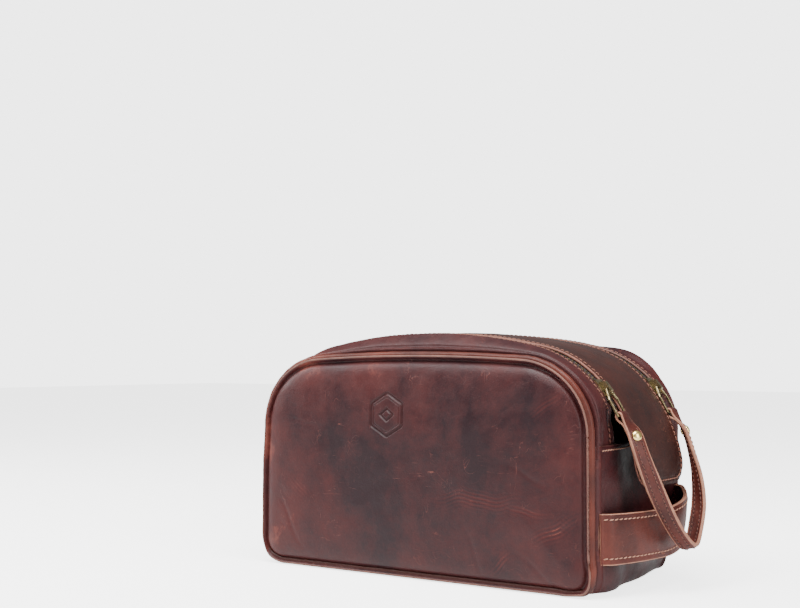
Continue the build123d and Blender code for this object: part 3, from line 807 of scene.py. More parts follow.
for name, side_sign in SIDES:
    is_front = name == "front"
    x, z = panel_grid(2.2, is_front)
    surface = panel_surface(x, z, side_sign, is_front)
    panel = add_sheet(name + "_panel_leather", surface, LEATHER_THICK, BODY_SIDES,
                      [name + "_panel", name + "_padding"], face_tone)
    x, z = panel_grid(0.8, False)
    flat = np.stack([x, np.zeros_like(x), z], axis=-1)
    wander = 0.25 * ripple(flat, 45.0, 41) + 0.12 * ripple(flat, 14.0, 42)
    inner_face = np.abs(np.array(node_box(name + "_panel_lining"))[:, 1]).min()
    depth = side_sign * (inner_face - 0.15 + wander * 0.5)
    inner = settle(np.stack([x, depth, z], axis=-1))
    add_cloth(name + "_panel_lining_cloth", inner, CLOTH_THICK, CLOTH_SIDES, name + "_panel_lining",
              (0, side_sign * 100, 70))

# ---------------------------------------------------------------- piping
BEAD_SIDES = 20


def bead_tone(points):
    """Lighter towards the left, and darker under the bag as painted shade."""
    # painted shade: the bead darkens near the floor
    under = 0.9 * (1 - smooth((points[:, 2] - 4) / 10))
    return 0.10 + 0.30 * ripple(points, 26.0, 54) + lighter_left(points, 0.35) - under


for name, side_sign in SIDES:
    loop = resample(panel_loop(PIPING_GROW), 1.2, closed=True)
    path = np.stack([loop[:, 0], np.full(len(loop), side_sign * PIPING_Y), loop[:, 1]], axis=1)
    outward = unit(path - np.array([0, side_sign * PIPING_Y, BAG_CORE[2]]))
    path = path + 0.10 * outward * ripple(path, 22.0, 51)[:, None]
    path = settle(path) - np.array([0, 0, 0.35]) * (1 - smooth(path[:, 2:] / 12))
    radii = BEAD_RADIUS + 0.07 * ripple(path, 9.0, 52) + 0.05 * ripple(path, 4.0, 53)
    tangents = unit(np.roll(path, -1, axis=0) - np.roll(path, 1, axis=0))
    side = unit(np.cross(tangents, ACROSS))
    up = np.cross(side, tangents)
    turns = np.linspace(0, 2 * math.pi, BEAD_SIDES, endpoint=False)
    rings = [path + (side * math.cos(turn) + up * math.sin(turn)) * radii[:, None] for turn in turns]
    points = np.stack(rings, axis=1).reshape(-1, 3)
    faces = grid_faces(len(path), BEAD_SIDES, close_rows=True, close_columns=True)
    bead = make_piece(name + "_piping_bead", points, faces, [piping_leather], tone=bead_tone(points))
    attach(bead, "bag", [name + "_piping", name + "_piping_cord"])

# ---------------------------------------------------------------- upper strips
FAR_BEFORE = -999.0


def past_slider(points):
    """Distance of chain points beyond the slider's middle, towards the strap end."""
    turn = np.degrees(np.arctan2(points[:, 1] - CREST_Z, points[:, 0] - CREST_X))
    return np.where(points[:, 0] < CREST_X, FAR_BEFORE, np.radians(SLIDER_ANGLE - turn) * CREST_RADIUS)


STRIP_COLUMNS = 44
LINING_REACH = 2.4            # how far a lining runs on under the seam
REAR_BULGE = 4.2
strip_threads = Stitches()


def strip_surface(side_sign, crest_grow, seam_grow, low_z, shape=True):
    """Strip from its edge beside the zip to the seam beside the piping."""
    crest = arch_curve(CREST_ARCH, crest_grow, low_z)
    seam = arch_curve(SEAM_ARCH, seam_grow, low_z)
    share = np.linspace(0, 1, STRIP_COLUMNS)
    depth = STRIP_EDGE_Y + (GUSSET_Y - STRIP_EDGE_Y) * share
    open_part = smooth((past_slider(crest) - 7.0) / 7.0)[:, None] * (1 - smooth((depth - STRIP_EDGE_Y) / 7.0))
    border = (STRIP_BORDER_Y - STRIP_EDGE_Y) / (GUSSET_Y - STRIP_EDGE_Y)
    slope = np.clip((share - border) / (1 - border), 0, 1)
    x = crest[:, None, 0] * (1 - slope) + seam[:, None, 0] * slope
    z = crest[:, None, 1] * (1 - slope) + seam[:, None, 1] * slope
    grid = np.stack([x, side_sign * (depth - 10.2 * open_part), z], axis=-1)
    if not shape:
        return grid
    swell = np.sin(math.pi * slope)
    rise = swell ** 1.2 + 1.5 * hill(share, 0.90, 0.05) - 0.8 * hill(share, 0.80, 0.04)
    rise = rise - 2.4 * smooth((share - 0.945) / 0.055)
    rise = rise - 0.22 * hill(depth, STRIP_EDGE_Y + 2.6, 0.9)
    rise = rise - open_part * (0.6 + 2.4 * hill(past_slider(crest), 17, 7)[:, None])
    rise = rise - 1.3 * smooth((-x - 30) / 60) * swell
    if side_sign > 0:
        turn = np.degrees(np.arctan2(z - CREST_Z, x - CREST_X))
        rise = rise + REAR_BULGE * hill(turn, 62, 19) * (x > 30) * swell ** 1.5
    rise = rise + 0.16 * ripple(grid, 26.0, 61) + 0.07 * ripple(grid, 8.0, 62)
    return grid + outward_normals(grid) * rise[..., None]


def strip_tone(points):
    return 0.32 + lighter_seam(points, 0.25) + 0.2 * ripple(points, 40.0, 63) + lighter_left(points, 0.25)


for name, side_sign in SIDES:
    grid = strip_surface(side_sign, 2.1, 4.7, TUCK_Z)
    add_sheet(name + "_upper_strip_leather", grid, LEATHER_THICK, BODY_SIDES,
              [name + "_upper_strip"], strip_tone)
    strip_threads.add_row(*along_surface(grid, 2.6 / (GUSSET_Y - STRIP_EDGE_Y) * (STRIP_COLUMNS - 1)))
    inner = strip_surface(side_sign, -0.5, 3.0, TUCK_Z, shape=False)
    inner = inner + 0.12 * ripple(inner, 20.0, 64)[..., None]
    inner[..., 1] += side_sign * LINING_REACH * np.linspace(0, 1, STRIP_COLUMNS)
    # outer side and edges in painted shade, seen in the gap at the seam
    add_cloth(name + "_strip_lining_cloth", inner, 0.6, GAP_SHADE_CLOTH_SIDES,
              name + "_strip_lining")

# ---------------------------------------------------------------- lower gusset
GUSSET_COLUMNS = 58
GUSSET_BELLOWS = 6.0
GUSSET_SLUMP = 3.4
LAP_INSET = 2.6


def gusset_surface(grow, half, shape):
    """Both sides and the base in one strip; its right side folds in under the tongue."""
    line = trough_curve(grow, LAP_Z)
    across = np.linspace(-half, half, GUSSET_COLUMNS)
    edge = np.abs(across)
    grid = swept(line, np.broadcast_to(across, (len(line), len(across))))
    x, z = grid[..., 0], grid[..., 2]
    upper = smooth((z - 46) / 34)
    rise = 0.8 * np.cos(across / half * math.pi / 2) * smooth((z - 24) / 30) * (1 - smooth((z - 50) / 30))
    rise = rise - GUSSET_BELLOWS * hill(across, 0, 17) * upper * (x > 0)
    rise = rise - 1.6 * hill(across, 0, 30) * upper * (x < 0)
    slump = hill(across, 16 - half, 14) * smooth((half - edge) / 10) * hill(z, 9, 9) * smooth(z / 6)
    rise = rise + GUSSET_SLUMP * slump * (x > 100)
    if shape:
        off_floor = z >= 2.0
        ridge = hill(edge, half - 2.0, 0.9) - 0.5 * hill(edge, half - 4.4, 0.8)
        ridge = ridge - 2.2 * smooth((edge - half + 1.1) / 1.1)
        rise = rise + ridge * np.where(off_floor, 1.0, 0.15) * np.clip(smooth((z - 4) / 5), 0.15, 1)
        rise = rise + off_floor * (0.22 * ripple(grid, 30.0, 71) + 0.07 * ripple(grid, 9.0, 72))
    return settle(grid + outward_normals(grid) * rise[..., None])


def gusset_tone(points):
    # ripple is random tone; the darkening below z 30 is painted shade near the floor
    uneven = 0.22 * ripple(points, 45.0, 73) - 0.35 * smooth((30 - points[:, 2]) / 14)
    return 0.30 + lighter_seam(points, 0.3) + uneven + lighter_left(points, 0.2)


gusset_grid = gusset_surface(6.4, GUSSET_Y - 0.2, True)
add_sheet("lower_gusset_leather", gusset_grid, LEATHER_THICK, BODY_SIDES,
          ["lower_gusset"], gusset_tone)
# outer side and edges in painted shade, seen in the gap at the seam
add_cloth("lower_lining_cloth", gusset_surface(3.0, GUSSET_Y + LINING_REACH, False), CLOTH_THICK,
          GAP_SHADE_CLOTH_SIDES, "lower_lining")
lap_threads = Stitches()
run = lengths_along(gusset_grid[:, GUSSET_COLUMNS // 2])
for at in (LAP_INSET, run[-1] - LAP_INSET):
    row = float(np.interp(at, run, np.arange(len(run))))
    path, normals = along_surface(gusset_grid.transpose(1, 0, 2), row)
    lap_threads.add_row(path[2:-2], normals[2:-2])
attach(lap_threads.piece("lap_stitches"), "bag")
attach(strip_threads.piece("strip_stitches", red_thread), "bag")

# ---------------------------------------------------------------- flap
FLAP_COLUMNS = 36
TIP_STEPS = np.array([0.2, 0.6, 1.2, 2.0, 3.0])
FLAP_STITCH_INSET = 2.8
FLAP_THICK = 1.7
FLAP_LINING_THICK = 1.1


def flap_surface(grow, half, shape=True):
    """The flap from its hinge seam on the left to its rounded tongue on the right."""
    line = resample(flap_curve(grow), 1.3)
    run = lengths_along(line)
    finer = np.sort(np.concatenate([run, run[-1] - TIP_STEPS]))
    line = on_line(finer, run, line)
    left = finer[-1] - finer
    corner = TONGUE_CORNER - (FLAP_HALF - half)
    drawn = np.clip(corner - left, 0, corner)
    widths = half - corner + np.sqrt(corner ** 2 - drawn ** 2)
    across = np.linspace(-1, 1, FLAP_COLUMNS)
    y = widths[:, None] * (np.sign(across) * np.abs(across) ** 0.8)
    grid = swept(line, y)
    if not shape:
        return grid
    inset = np.minimum(half - np.abs(y), left[:, None])
    rise = 0.7 * (1 - np.clip(np.abs(y) / half, 0, 1) ** 2) - 0.2 * hill(inset, FLAP_STITCH_INSET, 0.9)
    rise = rise + 0.22 * ripple(grid, 34.0, 81) + 0.07 * ripple(grid, 10.0, 82)
    return grid + outward_normals(grid, FLAP_CORE) * rise[..., None]


def flap_tone(points):
    side = smooth((np.abs(points[:, 1]) - 20) / 9)
    return 0.18 + 0.25 * ripple(points, 50.0, 83) + lighter_left(points, 0.25) + 0.25 * side


flap_grid = flap_surface(2.3, FLAP_HALF)
flap_sheet = make_sheet("flap_leather_sheet", flap_grid, FLAP_THICK, [flap_leather, edge_red, suede],
                        flap_tone, FLAP_CORE)
flap_cloth = make_sheet("flap_lining_leather", flap_surface(-0.5, FLAP_HALF - 0.4, False), FLAP_LINING_THICK,
                        [suede, edge_red, trim_leather], core=FLAP_CORE)


def bend_flap(piece, nodes=()):
    """Bakes the piece's placement into its mesh, and hides the CAD nodes that it stands for."""
    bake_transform(piece)
    if nodes:
        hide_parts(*nodes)


def flap_inset_path(grid, inset):
    """Path at a constant distance inside the flap's edge, down one side, round the tip and up the other."""
    run = lengths_along(grid[:, FLAP_COLUMNS // 2])
    corner = TONGUE_CORNER - inset
    turn_at = run[-1] - inset - corner
    side_y = FLAP_HALF - inset
    half = [(at, side_y) for at in np.linspace(3.0, turn_at, 360)]
    half += [(turn_at + corner * math.sin(turn), side_y - corner + corner * math.cos(turn))
             for turn in np.linspace(0, math.pi / 2, 30)[1:]]
    tip = [(run[-1] - inset, y) for y in np.linspace(side_y - corner, corner - side_y, 40)[1:]]
    normals = outward_normals(grid, FLAP_CORE)
    path, ups = [], []
    for at, y in half + tip + [(at, -y) for at, y in half[::-1][1:]]:
        row = float(np.interp(at, run, np.arange(len(grid))))
        low = min(int(row), len(grid) - 2)
        share = row - low
        for found, values in ((path, grid), (ups, normals)):
            before = on_line(y, grid[low, :, 1], values[low])
            after = on_line(y, grid[low + 1, :, 1], values[low + 1])
            found.append(before * (1 - share) + after * share)
    return np.array(path), unit(np.array(ups))


flap_threads = Stitches()
flap_threads.add_row(*flap_inset_path(flap_grid, FLAP_STITCH_INSET))
bend_flap(flap_sheet, ["flap_leather"])
bend_flap(flap_cloth, ["flap_lining"])
bend_flap(flap_threads.piece("flap_stitches", red_thread))

# ---------------------------------------------------------------- zip teeth, stops and tapes
TOOTH_PITCH = 2.8
ROW_START = 3.0
TEETH_END = 4.4
SPREAD = 1.3
SPREAD_RUN = 6.0
STOP_PAST = 8.6


def cornered(sections, corners):
    """Stack of eight-cornered outlines from (across, along, up) sections."""
    points = [(x * along, across, z * up) for across, along, up in sections for x, z in corners]
    return np.array(points), ring_faces(len(sections), len(corners))


# a tooth: a clamped body that narrows to a rounded head on the centre line; a stop: a rounded block
TOOTH = cornered(((-0.55, 0.30, 0.50), (-0.35, 0.48, 0.78), (0.15, 0.55, 0.92), (0.65, 0.50, 0.80),
                  (0.95, 0.60, 1.05), (1.55, 0.62, 1.22), (2.2, 0.60, 1.10), (2.5, 0.45, 0.85)),
                 ((1, 0.62), (0.72, 1), (-0.72, 1), (-1, 0.62),
                  (-1, -0.62), (-0.72, -1), (0.72, -1), (1, -0.62)))
STOP = cornered([(level * 0.8, 1.2 * scale, 0.75 * scale)
                 for level, scale in ((-1, 0.72), (-0.7, 1.0), (0.7, 1.0), (1, 0.72))],
                ((1, 0.7), (0.8, 1), (-0.8, 1), (-1, 0.7), (-1, -0.7), (-0.8, -1), (0.8, -1), (1, -0.7)))
STOP_OUT = 1.35


def spread_apart(points):
    """How far the two rows stand apart at chain points beyond the slider."""
    return np.clip(past_slider(points) / SPREAD_RUN + 0.5, 0, 1) * SPREAD


def chain_frames(chain, row_side, distances, side_sign):
    """Points on a chain, and origin and axes there: along, across towards the tape, and up."""
    run = lengths_along(chain)
    spots = on_line(distances, run, chain)
    flat = unit(on_line(distances + 0.4, run, chain) - on_line(distances - 0.4, run, chain))
    level = np.zeros(len(flat))
    along = np.stack([flat[:, 0], level, flat[:, 1]], axis=1)
    up = np.stack([-flat[:, 1], level, flat[:, 0]], axis=1)
    y = side_sign * (ZIP_Y + row_side * spread_apart(spots))
    across = np.broadcast_to(ACROSS * side_sign * row_side, along.shape)
    return spots, np.stack([spots[:, 0], y, spots[:, 1]], axis=1), along, across, up


def place_copies(shape, origin, along, across, up):
    """Copies of one small mesh on a chain, each turned and sized a little differently."""
    base, base_faces = shape
    if np.linalg.det(np.stack([along[0], across[0], up[0]])) < 0:
        base_faces = [face[::-1] for face in base_faces]
    points, faces = [], []
    for number in range(len(origin)):
        tilt = rng.uniform(-0.05, 0.05)
        local = base * (1 + rng.uniform(-0.03, 0.03))
        x = local[:, 0] + tilt * local[:, 1]
        points.append(origin[number] + x[:, None] * along[number] + local[:, 1:2] * across[number]
                      + local[:, 2:] * up[number])
        faces += [tuple(number * len(base) + corner for corner in face) for face in base_faces]
    return np.concatenate(points), faces


outer_chain = resample(arch_curve(CREST_ARCH, 0.0, FLAP_LOW_Z), 0.5)
inner_chain = resample(flap_curve(0.0), 0.5)
CHAINS = (("outer", outer_chain, 1, ROW_START), ("inner", inner_chain, -1, ROW_START + TOOTH_PITCH / 2))

for name, side_sign in SIDES:
    for row_name, chain, row_side, start in CHAINS:
        distances = np.arange(start, lengths_along(chain)[-1] - 1, TOOTH_PITCH)
        spots, *frames = chain_frames(chain, row_side, distances, side_sign)
        inside = past_slider(spots) < TEETH_END
        points, faces = place_copies(TOOTH, *[part[inside] for part in frames])
        teeth = make_piece(f"{name}_{row_name}_zip_teeth", points, faces, [dark_brass])
        beyond = np.where(past_slider(spots) > STOP_PAST)[0][:1]
        points, faces = place_copies(STOP, *[part[beyond] for part in frames])
        points = points + ACROSS * side_sign * row_side * STOP_OUT
        stop = make_piece(f"{name}_{row_name}_stop", points, faces, [old_brass])
        if row_name == "outer":
            attach(teeth, "bag", [f"{name}_outer_teeth"])
            attach(stop, "bag", ["zip_stops"] if name == "front" else ())
        else:
            bend_flap(teeth, [f"{name}_inner_teeth"])
            attach(stop, "flap", ["flap_zip_stops"] if name == "front" else ())

TAPE_COLUMNS = 14
TAPE_THICK = 0.7
TAPE_TOP = 33.0               # degrees where the inner tape ends on the tongue
OUTER_TAPE = (36.5, 46.5)     # Y of the beaded edge and of the sewn edge
INNER_TAPE = (35.5, 20.0)


def tape_surface(chain, near, far, side_sign):
    """Tape from its beaded edge in the teeth to its sewn edge."""
    line = resample(chain, 1.2)
    share = np.linspace(0, 1, TAPE_COLUMNS)
    opened = spread_apart(line) * np.sign(far - near)
    grid = swept(line, side_sign * (near + (far - near) * share + opened[:, None] * (1 - share)))
    rise = 0.3 + 0.45 * hill(share, 0.0, 0.08) + 0.10 * ripple(grid, 15.0, 91)
    return grid + outward_normals(grid) * rise[..., None]


for name, side_sign in SIDES:
    add_sheet(f"{name}_outer_zip_tape", tape_surface(outer_chain, *OUTER_TAPE, side_sign), TAPE_THICK,
              [zip_cloth] * 3, [f"{name}_outer_tape"])
    grid = tape_surface(flap_curve(0.0, TAPE_TOP), *INNER_TAPE, side_sign)
    tape = make_sheet(f"{name}_inner_zip_tape", grid, TAPE_THICK, [zip_cloth] * 3, core=FLAP_CORE)
    bend_flap(tape, [f"{name}_inner_tape"])

# ---------------------------------------------------------------- CAD nodes that stay
SLIDER_ROUNDING = 0.28


def repaint(node_name, material):
    """Gives a CAD node that stays in sight its own material."""
    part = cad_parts[node_name]
    part.data.materials.clear()
    part.data.materials.append(material)
    return part


repaint("base_board", board)
for name, _ in SIDES:
    repaint(name + "_pull_ring", old_brass)
    rounding = repaint(name + "_slider", old_brass).modifiers.new("rounded_edges", "BEVEL")
    rounding.width = SLIDER_ROUNDING * MM
    rounding.segments = 3
    rounding.limit_method = "ANGLE"
    rounding.angle_limit = math.radians(35)

# ---------------------------------------------------------------- strap
RING_BAR = np.array([131.6, 0.0, 105.0])
STRAP_LOW = np.array([154.4, 0.0, 24.9])
STRAP_WIDTH = 9.0
STRAP_THICK = 2.6
STRAP_FOLD = 16.0
STRAP_PULL = 40.0
STRAP_BOTTOM_HALF = 13.0
THROAT_END = 7.0
WRAP_THICK = 1.5
WRAP_REACH = 2.05
STRAP_TURN = math.radians(32.0)
TWIST_END = 0.75
RIVET_DROP = 14.0
DOME_OUT = 1.45
CAP_IN = 1.75

strap_up = unit(RING_BAR - STRAP_LOW)
strap_out = np.cross(ACROSS, strap_up)
strap_origin = RING_BAR + strap_out * (STRAP_THICK / 2)
strap_drop = float((strap_origin - STRAP_LOW) @ strap_up)


def bezier(points, count):
    """Points on a cubic curve."""
    t = np.linspace(0, 1, count)[:, None]
    first, second, third, last = [np.array(point, dtype=float) for point in points]
    return (1 - t) ** 3 * first + 3 * (1 - t) ** 2 * t * second + 3 * (1 - t) * t ** 2 * third + t ** 3 * last


half_curve = bezier(((-ZIP_Y, -STRAP_FOLD), (-ZIP_Y, -STRAP_PULL), (-STRAP_BOTTOM_HALF, -strap_drop),
                     (0, -strap_drop)), 400)
half_curve = resample(half_curve, 0.9)
share = np.linspace(0, 1, len(half_curve))
half_path = strap_origin + half_curve[:, :1] * ACROSS + half_curve[:, 1:] * strap_up
half_tangent = unit(np.gradient(half_path, axis=0))
twist = STRAP_TURN + (math.pi / 2 - STRAP_TURN) * smooth(share / TWIST_END)
half_normal = unit(strap_out * np.cos(twist)[:, None]
                   + np.cross(half_tangent, strap_out) * np.sin(twist)[:, None])

# the fold: up the back, around the ring bar and down onto the front, in (out, up) from the bar
BACK_OUT = 0.35
FRONT_OUT = 1.85
back = straight((BACK_OUT, -STRAP_FOLD), (BACK_OUT, -THROAT_END), 12)
throat_back = bezier(((BACK_OUT, -THROAT_END), (BACK_OUT, -4.6), (-WRAP_REACH, -3.6), (-WRAP_REACH, -0.6)),
                     10)[:-1]
around = arc(0, 0, WRAP_REACH, 180, 0, 22)
throat_front = bezier(((WRAP_REACH, -0.6), (WRAP_REACH, -3.6), (FRONT_OUT, -4.6), (FRONT_OUT, -THROAT_END)),
                      10)[:-1]
front = straight((FRONT_OUT, -THROAT_END), (STRAP_THICK / 2, -STRAP_FOLD), 11)
fold_line = np.concatenate([back, throat_back, around, throat_front, front])
fold_tangent = unit(np.gradient(fold_line, axis=0))
fold_thick = np.full(len(fold_line), WRAP_THICK)
fold_thick[-len(front):] = np.linspace(WRAP_THICK, STRAP_THICK, len(front))


def turned_out(drops):
    """The strap's outward direction at distances below the bar, turned towards the front."""
    turn = STRAP_TURN * smooth(drops / STRAP_FOLD)[:, None]
    return strap_out * np.cos(turn) - ACROSS * np.sin(turn)


fold_out = turned_out(-fold_line[:, 1])
fold_path = (RING_BAR - ZIP_Y * ACROSS + strap_out * (STRAP_THICK / 2)
             + (fold_line[:, :1] - STRAP_THICK / 2) * fold_out + fold_line[:, 1:] * strap_up)
fold_normal = fold_tangent[:, :1] * strap_up - fold_tangent[:, 1:] * fold_out


def bow_out(points):
    """Outward swing of the strap below the ring bar, as it hangs away from the bag."""
    depth = np.maximum((RING_BAR - points) @ strap_up, 0)
    swing = 4.2 * (1 - np.exp(-(depth / 9.0) ** 2)) - 1.2 * smooth((depth - 30) / 50)
    swing = swing + 3.0 * hill(depth, 52, 26) * smooth((points[:, 1] - 4) / 18)
    return points + swing[:, None] * strap_out


def there_and_back(fold, half, handed=1):
    """The strap's fold and half, then the same for the rear, mirrored if handed is -1."""
    rear = [part * np.array([1, handed, 1]) if part.ndim > 1 else part for part in (half, fold)]
    return np.concatenate([fold, half, rear[0][::-1][1:], rear[1][::-1]])


strap_path = bow_out(there_and_back(fold_path, half_path, -1))
strap_normal = unit(there_and_back(fold_normal, half_normal, -1))
strap_thickness = there_and_back(fold_thick, np.full(len(half_path), STRAP_THICK))
strap_side = unit(np.cross(strap_normal, unit(np.gradient(strap_path, axis=0))))
STRAP_COLUMNS = 11
STRAP_SKIN = 0.15             # taken off the thickness for the crown
SEWN_IN_FOLD = 9              # rows at the end of each fold that the stitches run into
level = np.linspace(-1, 1, STRAP_COLUMNS)
across = level * (STRAP_WIDTH / 2 - 0.3)
crown = 0.28 * (1 - np.abs(level) ** 2.5)
strap_grid = (strap_path[:, None, :] + strap_side[:, None, :] * across[None, :, None]
              + strap_normal[:, None, :] * (strap_thickness[:, None, None] / 2 - 0.25 + crown[None, :, None]))
strap_grid = strap_grid + strap_normal[:, None, :] * (0.08 * ripple(strap_grid, 12.0, 101))[..., None]
flip = np.sum(grid_normals(strap_grid) * strap_normal[:, None, :]) < 0
points, faces, slots = sheet_parts(strap_grid, strap_thickness - STRAP_SKIN, flip)
strap = make_piece("hanging_strap", points, faces, [trim_leather, edge_tan, trim_leather], slots,
                   0.12 + 0.3 * ripple(points, 30.0, 102))
attach(strap, "strap", ["strap"])
strap_threads = Stitches()
sewn = slice(len(fold_line) - SEWN_IN_FOLD, SEWN_IN_FOLD - len(fold_line))
for column in (2.3, STRAP_COLUMNS - 3.3):
    low = int(column)
    part = column - low
    row = strap_grid[:, low] * (1 - part) + strap_grid[:, low + 1] * part
    under = row - strap_normal * (strap_thickness - STRAP_SKIN)[:, None]
    for path, normals in ((row, strap_normal), (under, -strap_normal)):
        strap_threads.add_row(path[sewn], normals[sewn], slant=0.1, pitch=3.0, length=2.2)
attach(strap_threads.piece("strap_stitches", dark_thread), "strap")

# ---------------------------------------------------------------- rivets
def lathe(name, profile, origin, axis, sides, node_name):
    """A polished rivet part: surface of revolution from (radius, height) pairs."""
    first = unit(np.cross(axis, ACROSS))
    second = np.cross(axis, first)
    turns = np.linspace(0, 2 * math.pi, sides, endpoint=False)
    points = [origin + axis * height + (first * math.cos(turn) + second * math.sin(turn)) * radius
              for radius, height in profile for turn in turns]
    faces = [face[::-1] for face in ring_faces(len(profile), sides)]
    attach(make_piece(name, points, faces, [bright_brass]), "strap", node_name)


dome_turns = np.radians(np.linspace(8, 90, 12))
dome = [(3.0, -0.25), (3.2, 0.0), (3.2, 0.32)]
dome += [(3.05 * math.cos(turn) + 0.001, 0.42 + 1.48 * math.sin(turn)) for turn in dome_turns]
cap = [(1.75, 0.0), (1.8, 0.12), (1.8, 0.3), (1.6, 0.48), (0.6, 0.5)]
rivet_turn = STRAP_TURN * float(smooth(RIVET_DROP / STRAP_FOLD))
for name, side_sign in SIDES:
    above, middle, below = bow_out(RING_BAR - strap_up * (RIVET_DROP + np.array([-1.0, 0.0, 1.0]))[:, None])
    strap_face = unit(np.cross(ACROSS, above - below))
    spot = middle + side_sign * ZIP_Y * ACROSS + strap_face * (STRAP_THICK / 2)
    strap_face = unit(strap_face * math.cos(rivet_turn) + ACROSS * side_sign * math.sin(rivet_turn))
    is_front = name == "front"
    lathe(name + "_dome_rivet", dome, spot + strap_face * DOME_OUT, strap_face, 40, ["strap_rivets"] * is_front)
    lathe(name + "_rivet_cap", cap, spot - strap_face * CAP_IN, -strap_face, 32, ["rivet_caps"] * is_front)

# ---------------------------------------------------------------- carry handle
HANDLE_Z = (node_box("handle_leather")[0][2] - 1.6, node_box("handle_leather")[1][2] - 3.6)
HANDLE_ROOT_X = 126.5
HANDLE_BULGE_X = 140.7
HANDLE_LAYER = 1.4
HANDLE_COLUMNS = 24
HANDLE_ROWS = 90
HANDLE_STITCH = 3.0 / 30.5    # share of the handle's width between its edge and its stitches
HANDLE_SWELL = 5.5            # the rear end stands out and rises
HANDLE_LIFT = 9.0


def handle_surface(grow, narrow):
    """A bowed band from the front to the rear of the strap end."""
    sag = HANDLE_BULGE_X - HANDLE_ROOT_X
    radius = (GUSSET_Y ** 2 + sag ** 2) / (2 * sag)
    reach = math.asin(GUSSET_Y / radius)
    turn = np.linspace(-reach, reach, HANDLE_ROWS)
    middle = sum(HANDLE_Z) / 2
    half = (HANDLE_Z[1] - HANDLE_Z[0]) / 2 - narrow
    level = np.linspace(-1, 1, HANDLE_COLUMNS)
    z = middle + half * level * (1.0 - 0.02 * np.cos(turn / reach * math.pi / 2))[:, None]
    arch = np.stack([HANDLE_BULGE_X - radius + grow + radius * np.cos(turn), z[:, 0]], axis=1)
    grid = swept(arch, np.broadcast_to(radius * np.sin(turn)[:, None], z.shape)).copy()
    grid[..., 2] = z
    rise = 0.9 * (1 - level ** 2) - 0.22 * hill(half - np.abs(z - middle), 3.0, 0.9)
    rise = rise + 0.2 * ripple(grid, 30.0, 111) + 0.06 * ripple(grid, 9.0, 112)
    rise = rise - 3.0 * smooth((np.abs(grid[..., 1]) - GUSSET_Y + 7) / 7)
    outward = np.stack([np.cos(turn), np.sin(turn), np.zeros(len(turn))], axis=1)
    grid = grid + outward[:, None, :] * rise[..., None]
    swell = HANDLE_SWELL * hill(grid[..., 1], 27, 24)
    lift = HANDLE_LIFT * smooth((grid[..., 1] + 5) / 62)
    return settle(grid) + np.stack([swell, np.zeros_like(swell), lift], axis=-1)


def handle_tone(points):
    return 0.05 + 0.3 * ripple(points, 45.0, 113)


handle_grid = handle_surface(2 * HANDLE_LAYER, 0.2)
add_sheet("carry_handle_leather", handle_grid, HANDLE_LAYER, TRIM_SIDES,
          ["handle_leather"], handle_tone, HANDLE_CORE)
add_sheet("carry_handle_backing", handle_surface(HANDLE_LAYER, 0.5), 1.2, [suede, edge_tan, body_leather],
          ["handle_backing"], core=HANDLE_CORE)
handle_threads = Stitches()
for share in (HANDLE_STITCH, 1 - HANDLE_STITCH):
    path, normals = along_surface(handle_grid, share * (HANDLE_COLUMNS - 1), HANDLE_CORE)
    handle_threads.add_row(path[1:-1], normals[1:-1])
attach(handle_threads.piece("handle_stitches"), "bag")

# ---------------------------------------------------------------- slip pocket
POCKET_ROWS = 60
POCKET_COLUMNS = 26
BINDING_COLUMNS = 7
low, high = node_box("slip_pocket")
x = np.linspace(low[0] + 0.5, high[0] - 0.5, POCKET_ROWS)
z = np.linspace(low[2] + 0.5, high[2] - 0.5, POCKET_COLUMNS)
grid_x, grid_z = np.meshgrid(x, z, indexing="ij")
slack = np.sin(math.pi * (grid_x - x[0]) / (x[-1] - x[0])) * smooth((grid_z - z[0]) / 40)
flat = np.stack([grid_x, np.zeros_like(grid_x), grid_z], axis=-1)
grid_y = low[1] - 1.8 * slack - 0.3 * ripple(flat, 26.0, 121) * slack
pocket_grid = settle(np.stack([grid_x, grid_y, grid_z], axis=-1))
add_cloth("slip_pocket_cloth", pocket_grid, CLOTH_THICK, CLOTH_SIDES, "slip_pocket",
          POCKET_CORE)
add_sheet("pocket_binding_strip", pocket_grid[:, -BINDING_COLUMNS:] - 0.35 * ACROSS, 0.9,
          TRIM_SIDES, ["pocket_binding"], core=POCKET_CORE)

# ---------------------------------------------------------------- floor, lights and camera
AMBIENT = 0.34
FLOOR_AMBIENT = 0.25
FLOOR_SIZE = 9.0              # in metres, as FLOOR_GAP
FLOOR_GAP = 0.0004
BACKDROP_GLOW = 4.0
FLOOR_GLOW = 3.0


def seen_directly(nodes, otherwise, glow):
    """One brightness for the plain backdrop itself, another for the light that it gives."""
    return nodes.value("ShaderNodeLightPath", "Is Camera Ray", {}).span(0.0, 1.0, otherwise, glow)


ground = Surface("pale_floor")
floor_material = ground.shade({
    "Base Color": ground.mix(ground.noise(3.0, 3.0, 0.5, 0.0), (0.88, 0.88, 0.88), (0.91, 0.91, 0.905)),
    "Roughness": 0.75, "Emission Color": (1.0, 1.0, 1.0),
    "Emission Strength": seen_directly(ground, FLOOR_AMBIENT, FLOOR_GLOW)})
bpy.ops.mesh.primitive_grid_add(x_subdivisions=4, y_subdivisions=4, size=FLOOR_SIZE, location=(0, 0, -FLOOR_GAP))
floor = bpy.context.object
floor.name = "studio_floor"
floor.data.materials.append(floor_material)

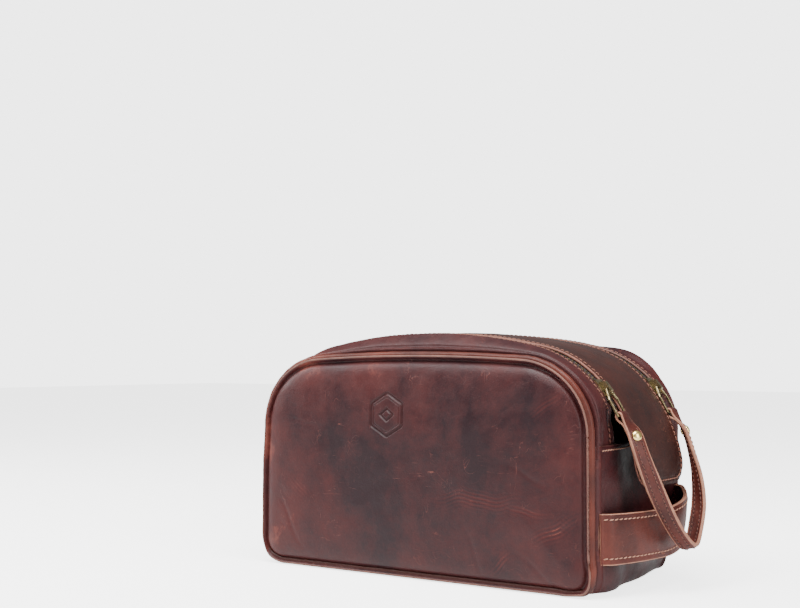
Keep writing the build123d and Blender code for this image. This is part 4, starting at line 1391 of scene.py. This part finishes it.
world = bpy.data.worlds.new("studio_world")
bpy.context.scene.world = world
world.use_nodes = True
sky = Nodes(world.node_tree)
backdrop = world.node_tree.nodes["Background"]
sky.put(backdrop.inputs["Color"], (1.0, 1.0, 1.0))
sky.put(backdrop.inputs["Strength"], seen_directly(sky, AMBIENT, BACKDROP_GLOW))


def soft_light(name, place, target, size, power):
    data = bpy.data.lights.new(name, "AREA")
    data.shape = "RECTANGLE"
    data.size, data.size_y = size
    data.energy = power
    lamp = bpy.data.objects.new(name, data)
    lamp.location = place
    lamp.rotation_euler = (Vector(target) - Vector(place)).to_track_quat("-Z", "Y").to_euler()
    bpy.context.scene.collection.objects.link(lamp)


soft_light("top_softbox", (0.1, -0.35, 1.1), (0.0, 0.0, 0.08), (1.0, 0.6), 26.0)
soft_light("left_softbox", (-1.2, -0.45, 0.8), (0.0, 0.0, 0.08), (0.6, 0.9), 16.0)
soft_light("front_strip_light", (-0.35, -0.85, 0.98), (0.0, -0.06, 0.12), (1.0, 0.25), 10.0)
soft_light("right_softbox", (1.3, -0.3, 0.6), (0.05, 0.0, 0.08), (0.5, 0.9), 13.0)

CAMERA_PLACE = np.array([469.2, -742.7, 139.4])
CAMERA_YAW = math.radians(35.2)
CAMERA_PITCH = math.radians(-2.36)
CAMERA_ROLL = math.radians(0.02)
SENSOR_WIDTH = 36.0
LENS = 58.5
back = Vector((math.sin(CAMERA_YAW) * math.cos(CAMERA_PITCH), -math.cos(CAMERA_YAW) * math.cos(CAMERA_PITCH),
               math.sin(CAMERA_PITCH)))
level = Vector((math.cos(CAMERA_YAW), math.sin(CAMERA_YAW), 0))
upright = back.cross(level)
right = math.cos(CAMERA_ROLL) * level + math.sin(CAMERA_ROLL) * upright
above = -math.sin(CAMERA_ROLL) * level + math.cos(CAMERA_ROLL) * upright
camera_data = bpy.data.cameras.new("camera")
camera_data.sensor_width = SENSOR_WIDTH
camera_data.lens = LENS
camera = bpy.data.objects.new("camera", camera_data)
bpy.context.scene.collection.objects.link(camera)
turned = Matrix((right, above, back)).transposed().to_4x4()
camera.matrix_world = Matrix.Translation(Vector(CAMERA_PLACE * MM)) @ turned
bpy.context.scene.camera = camera
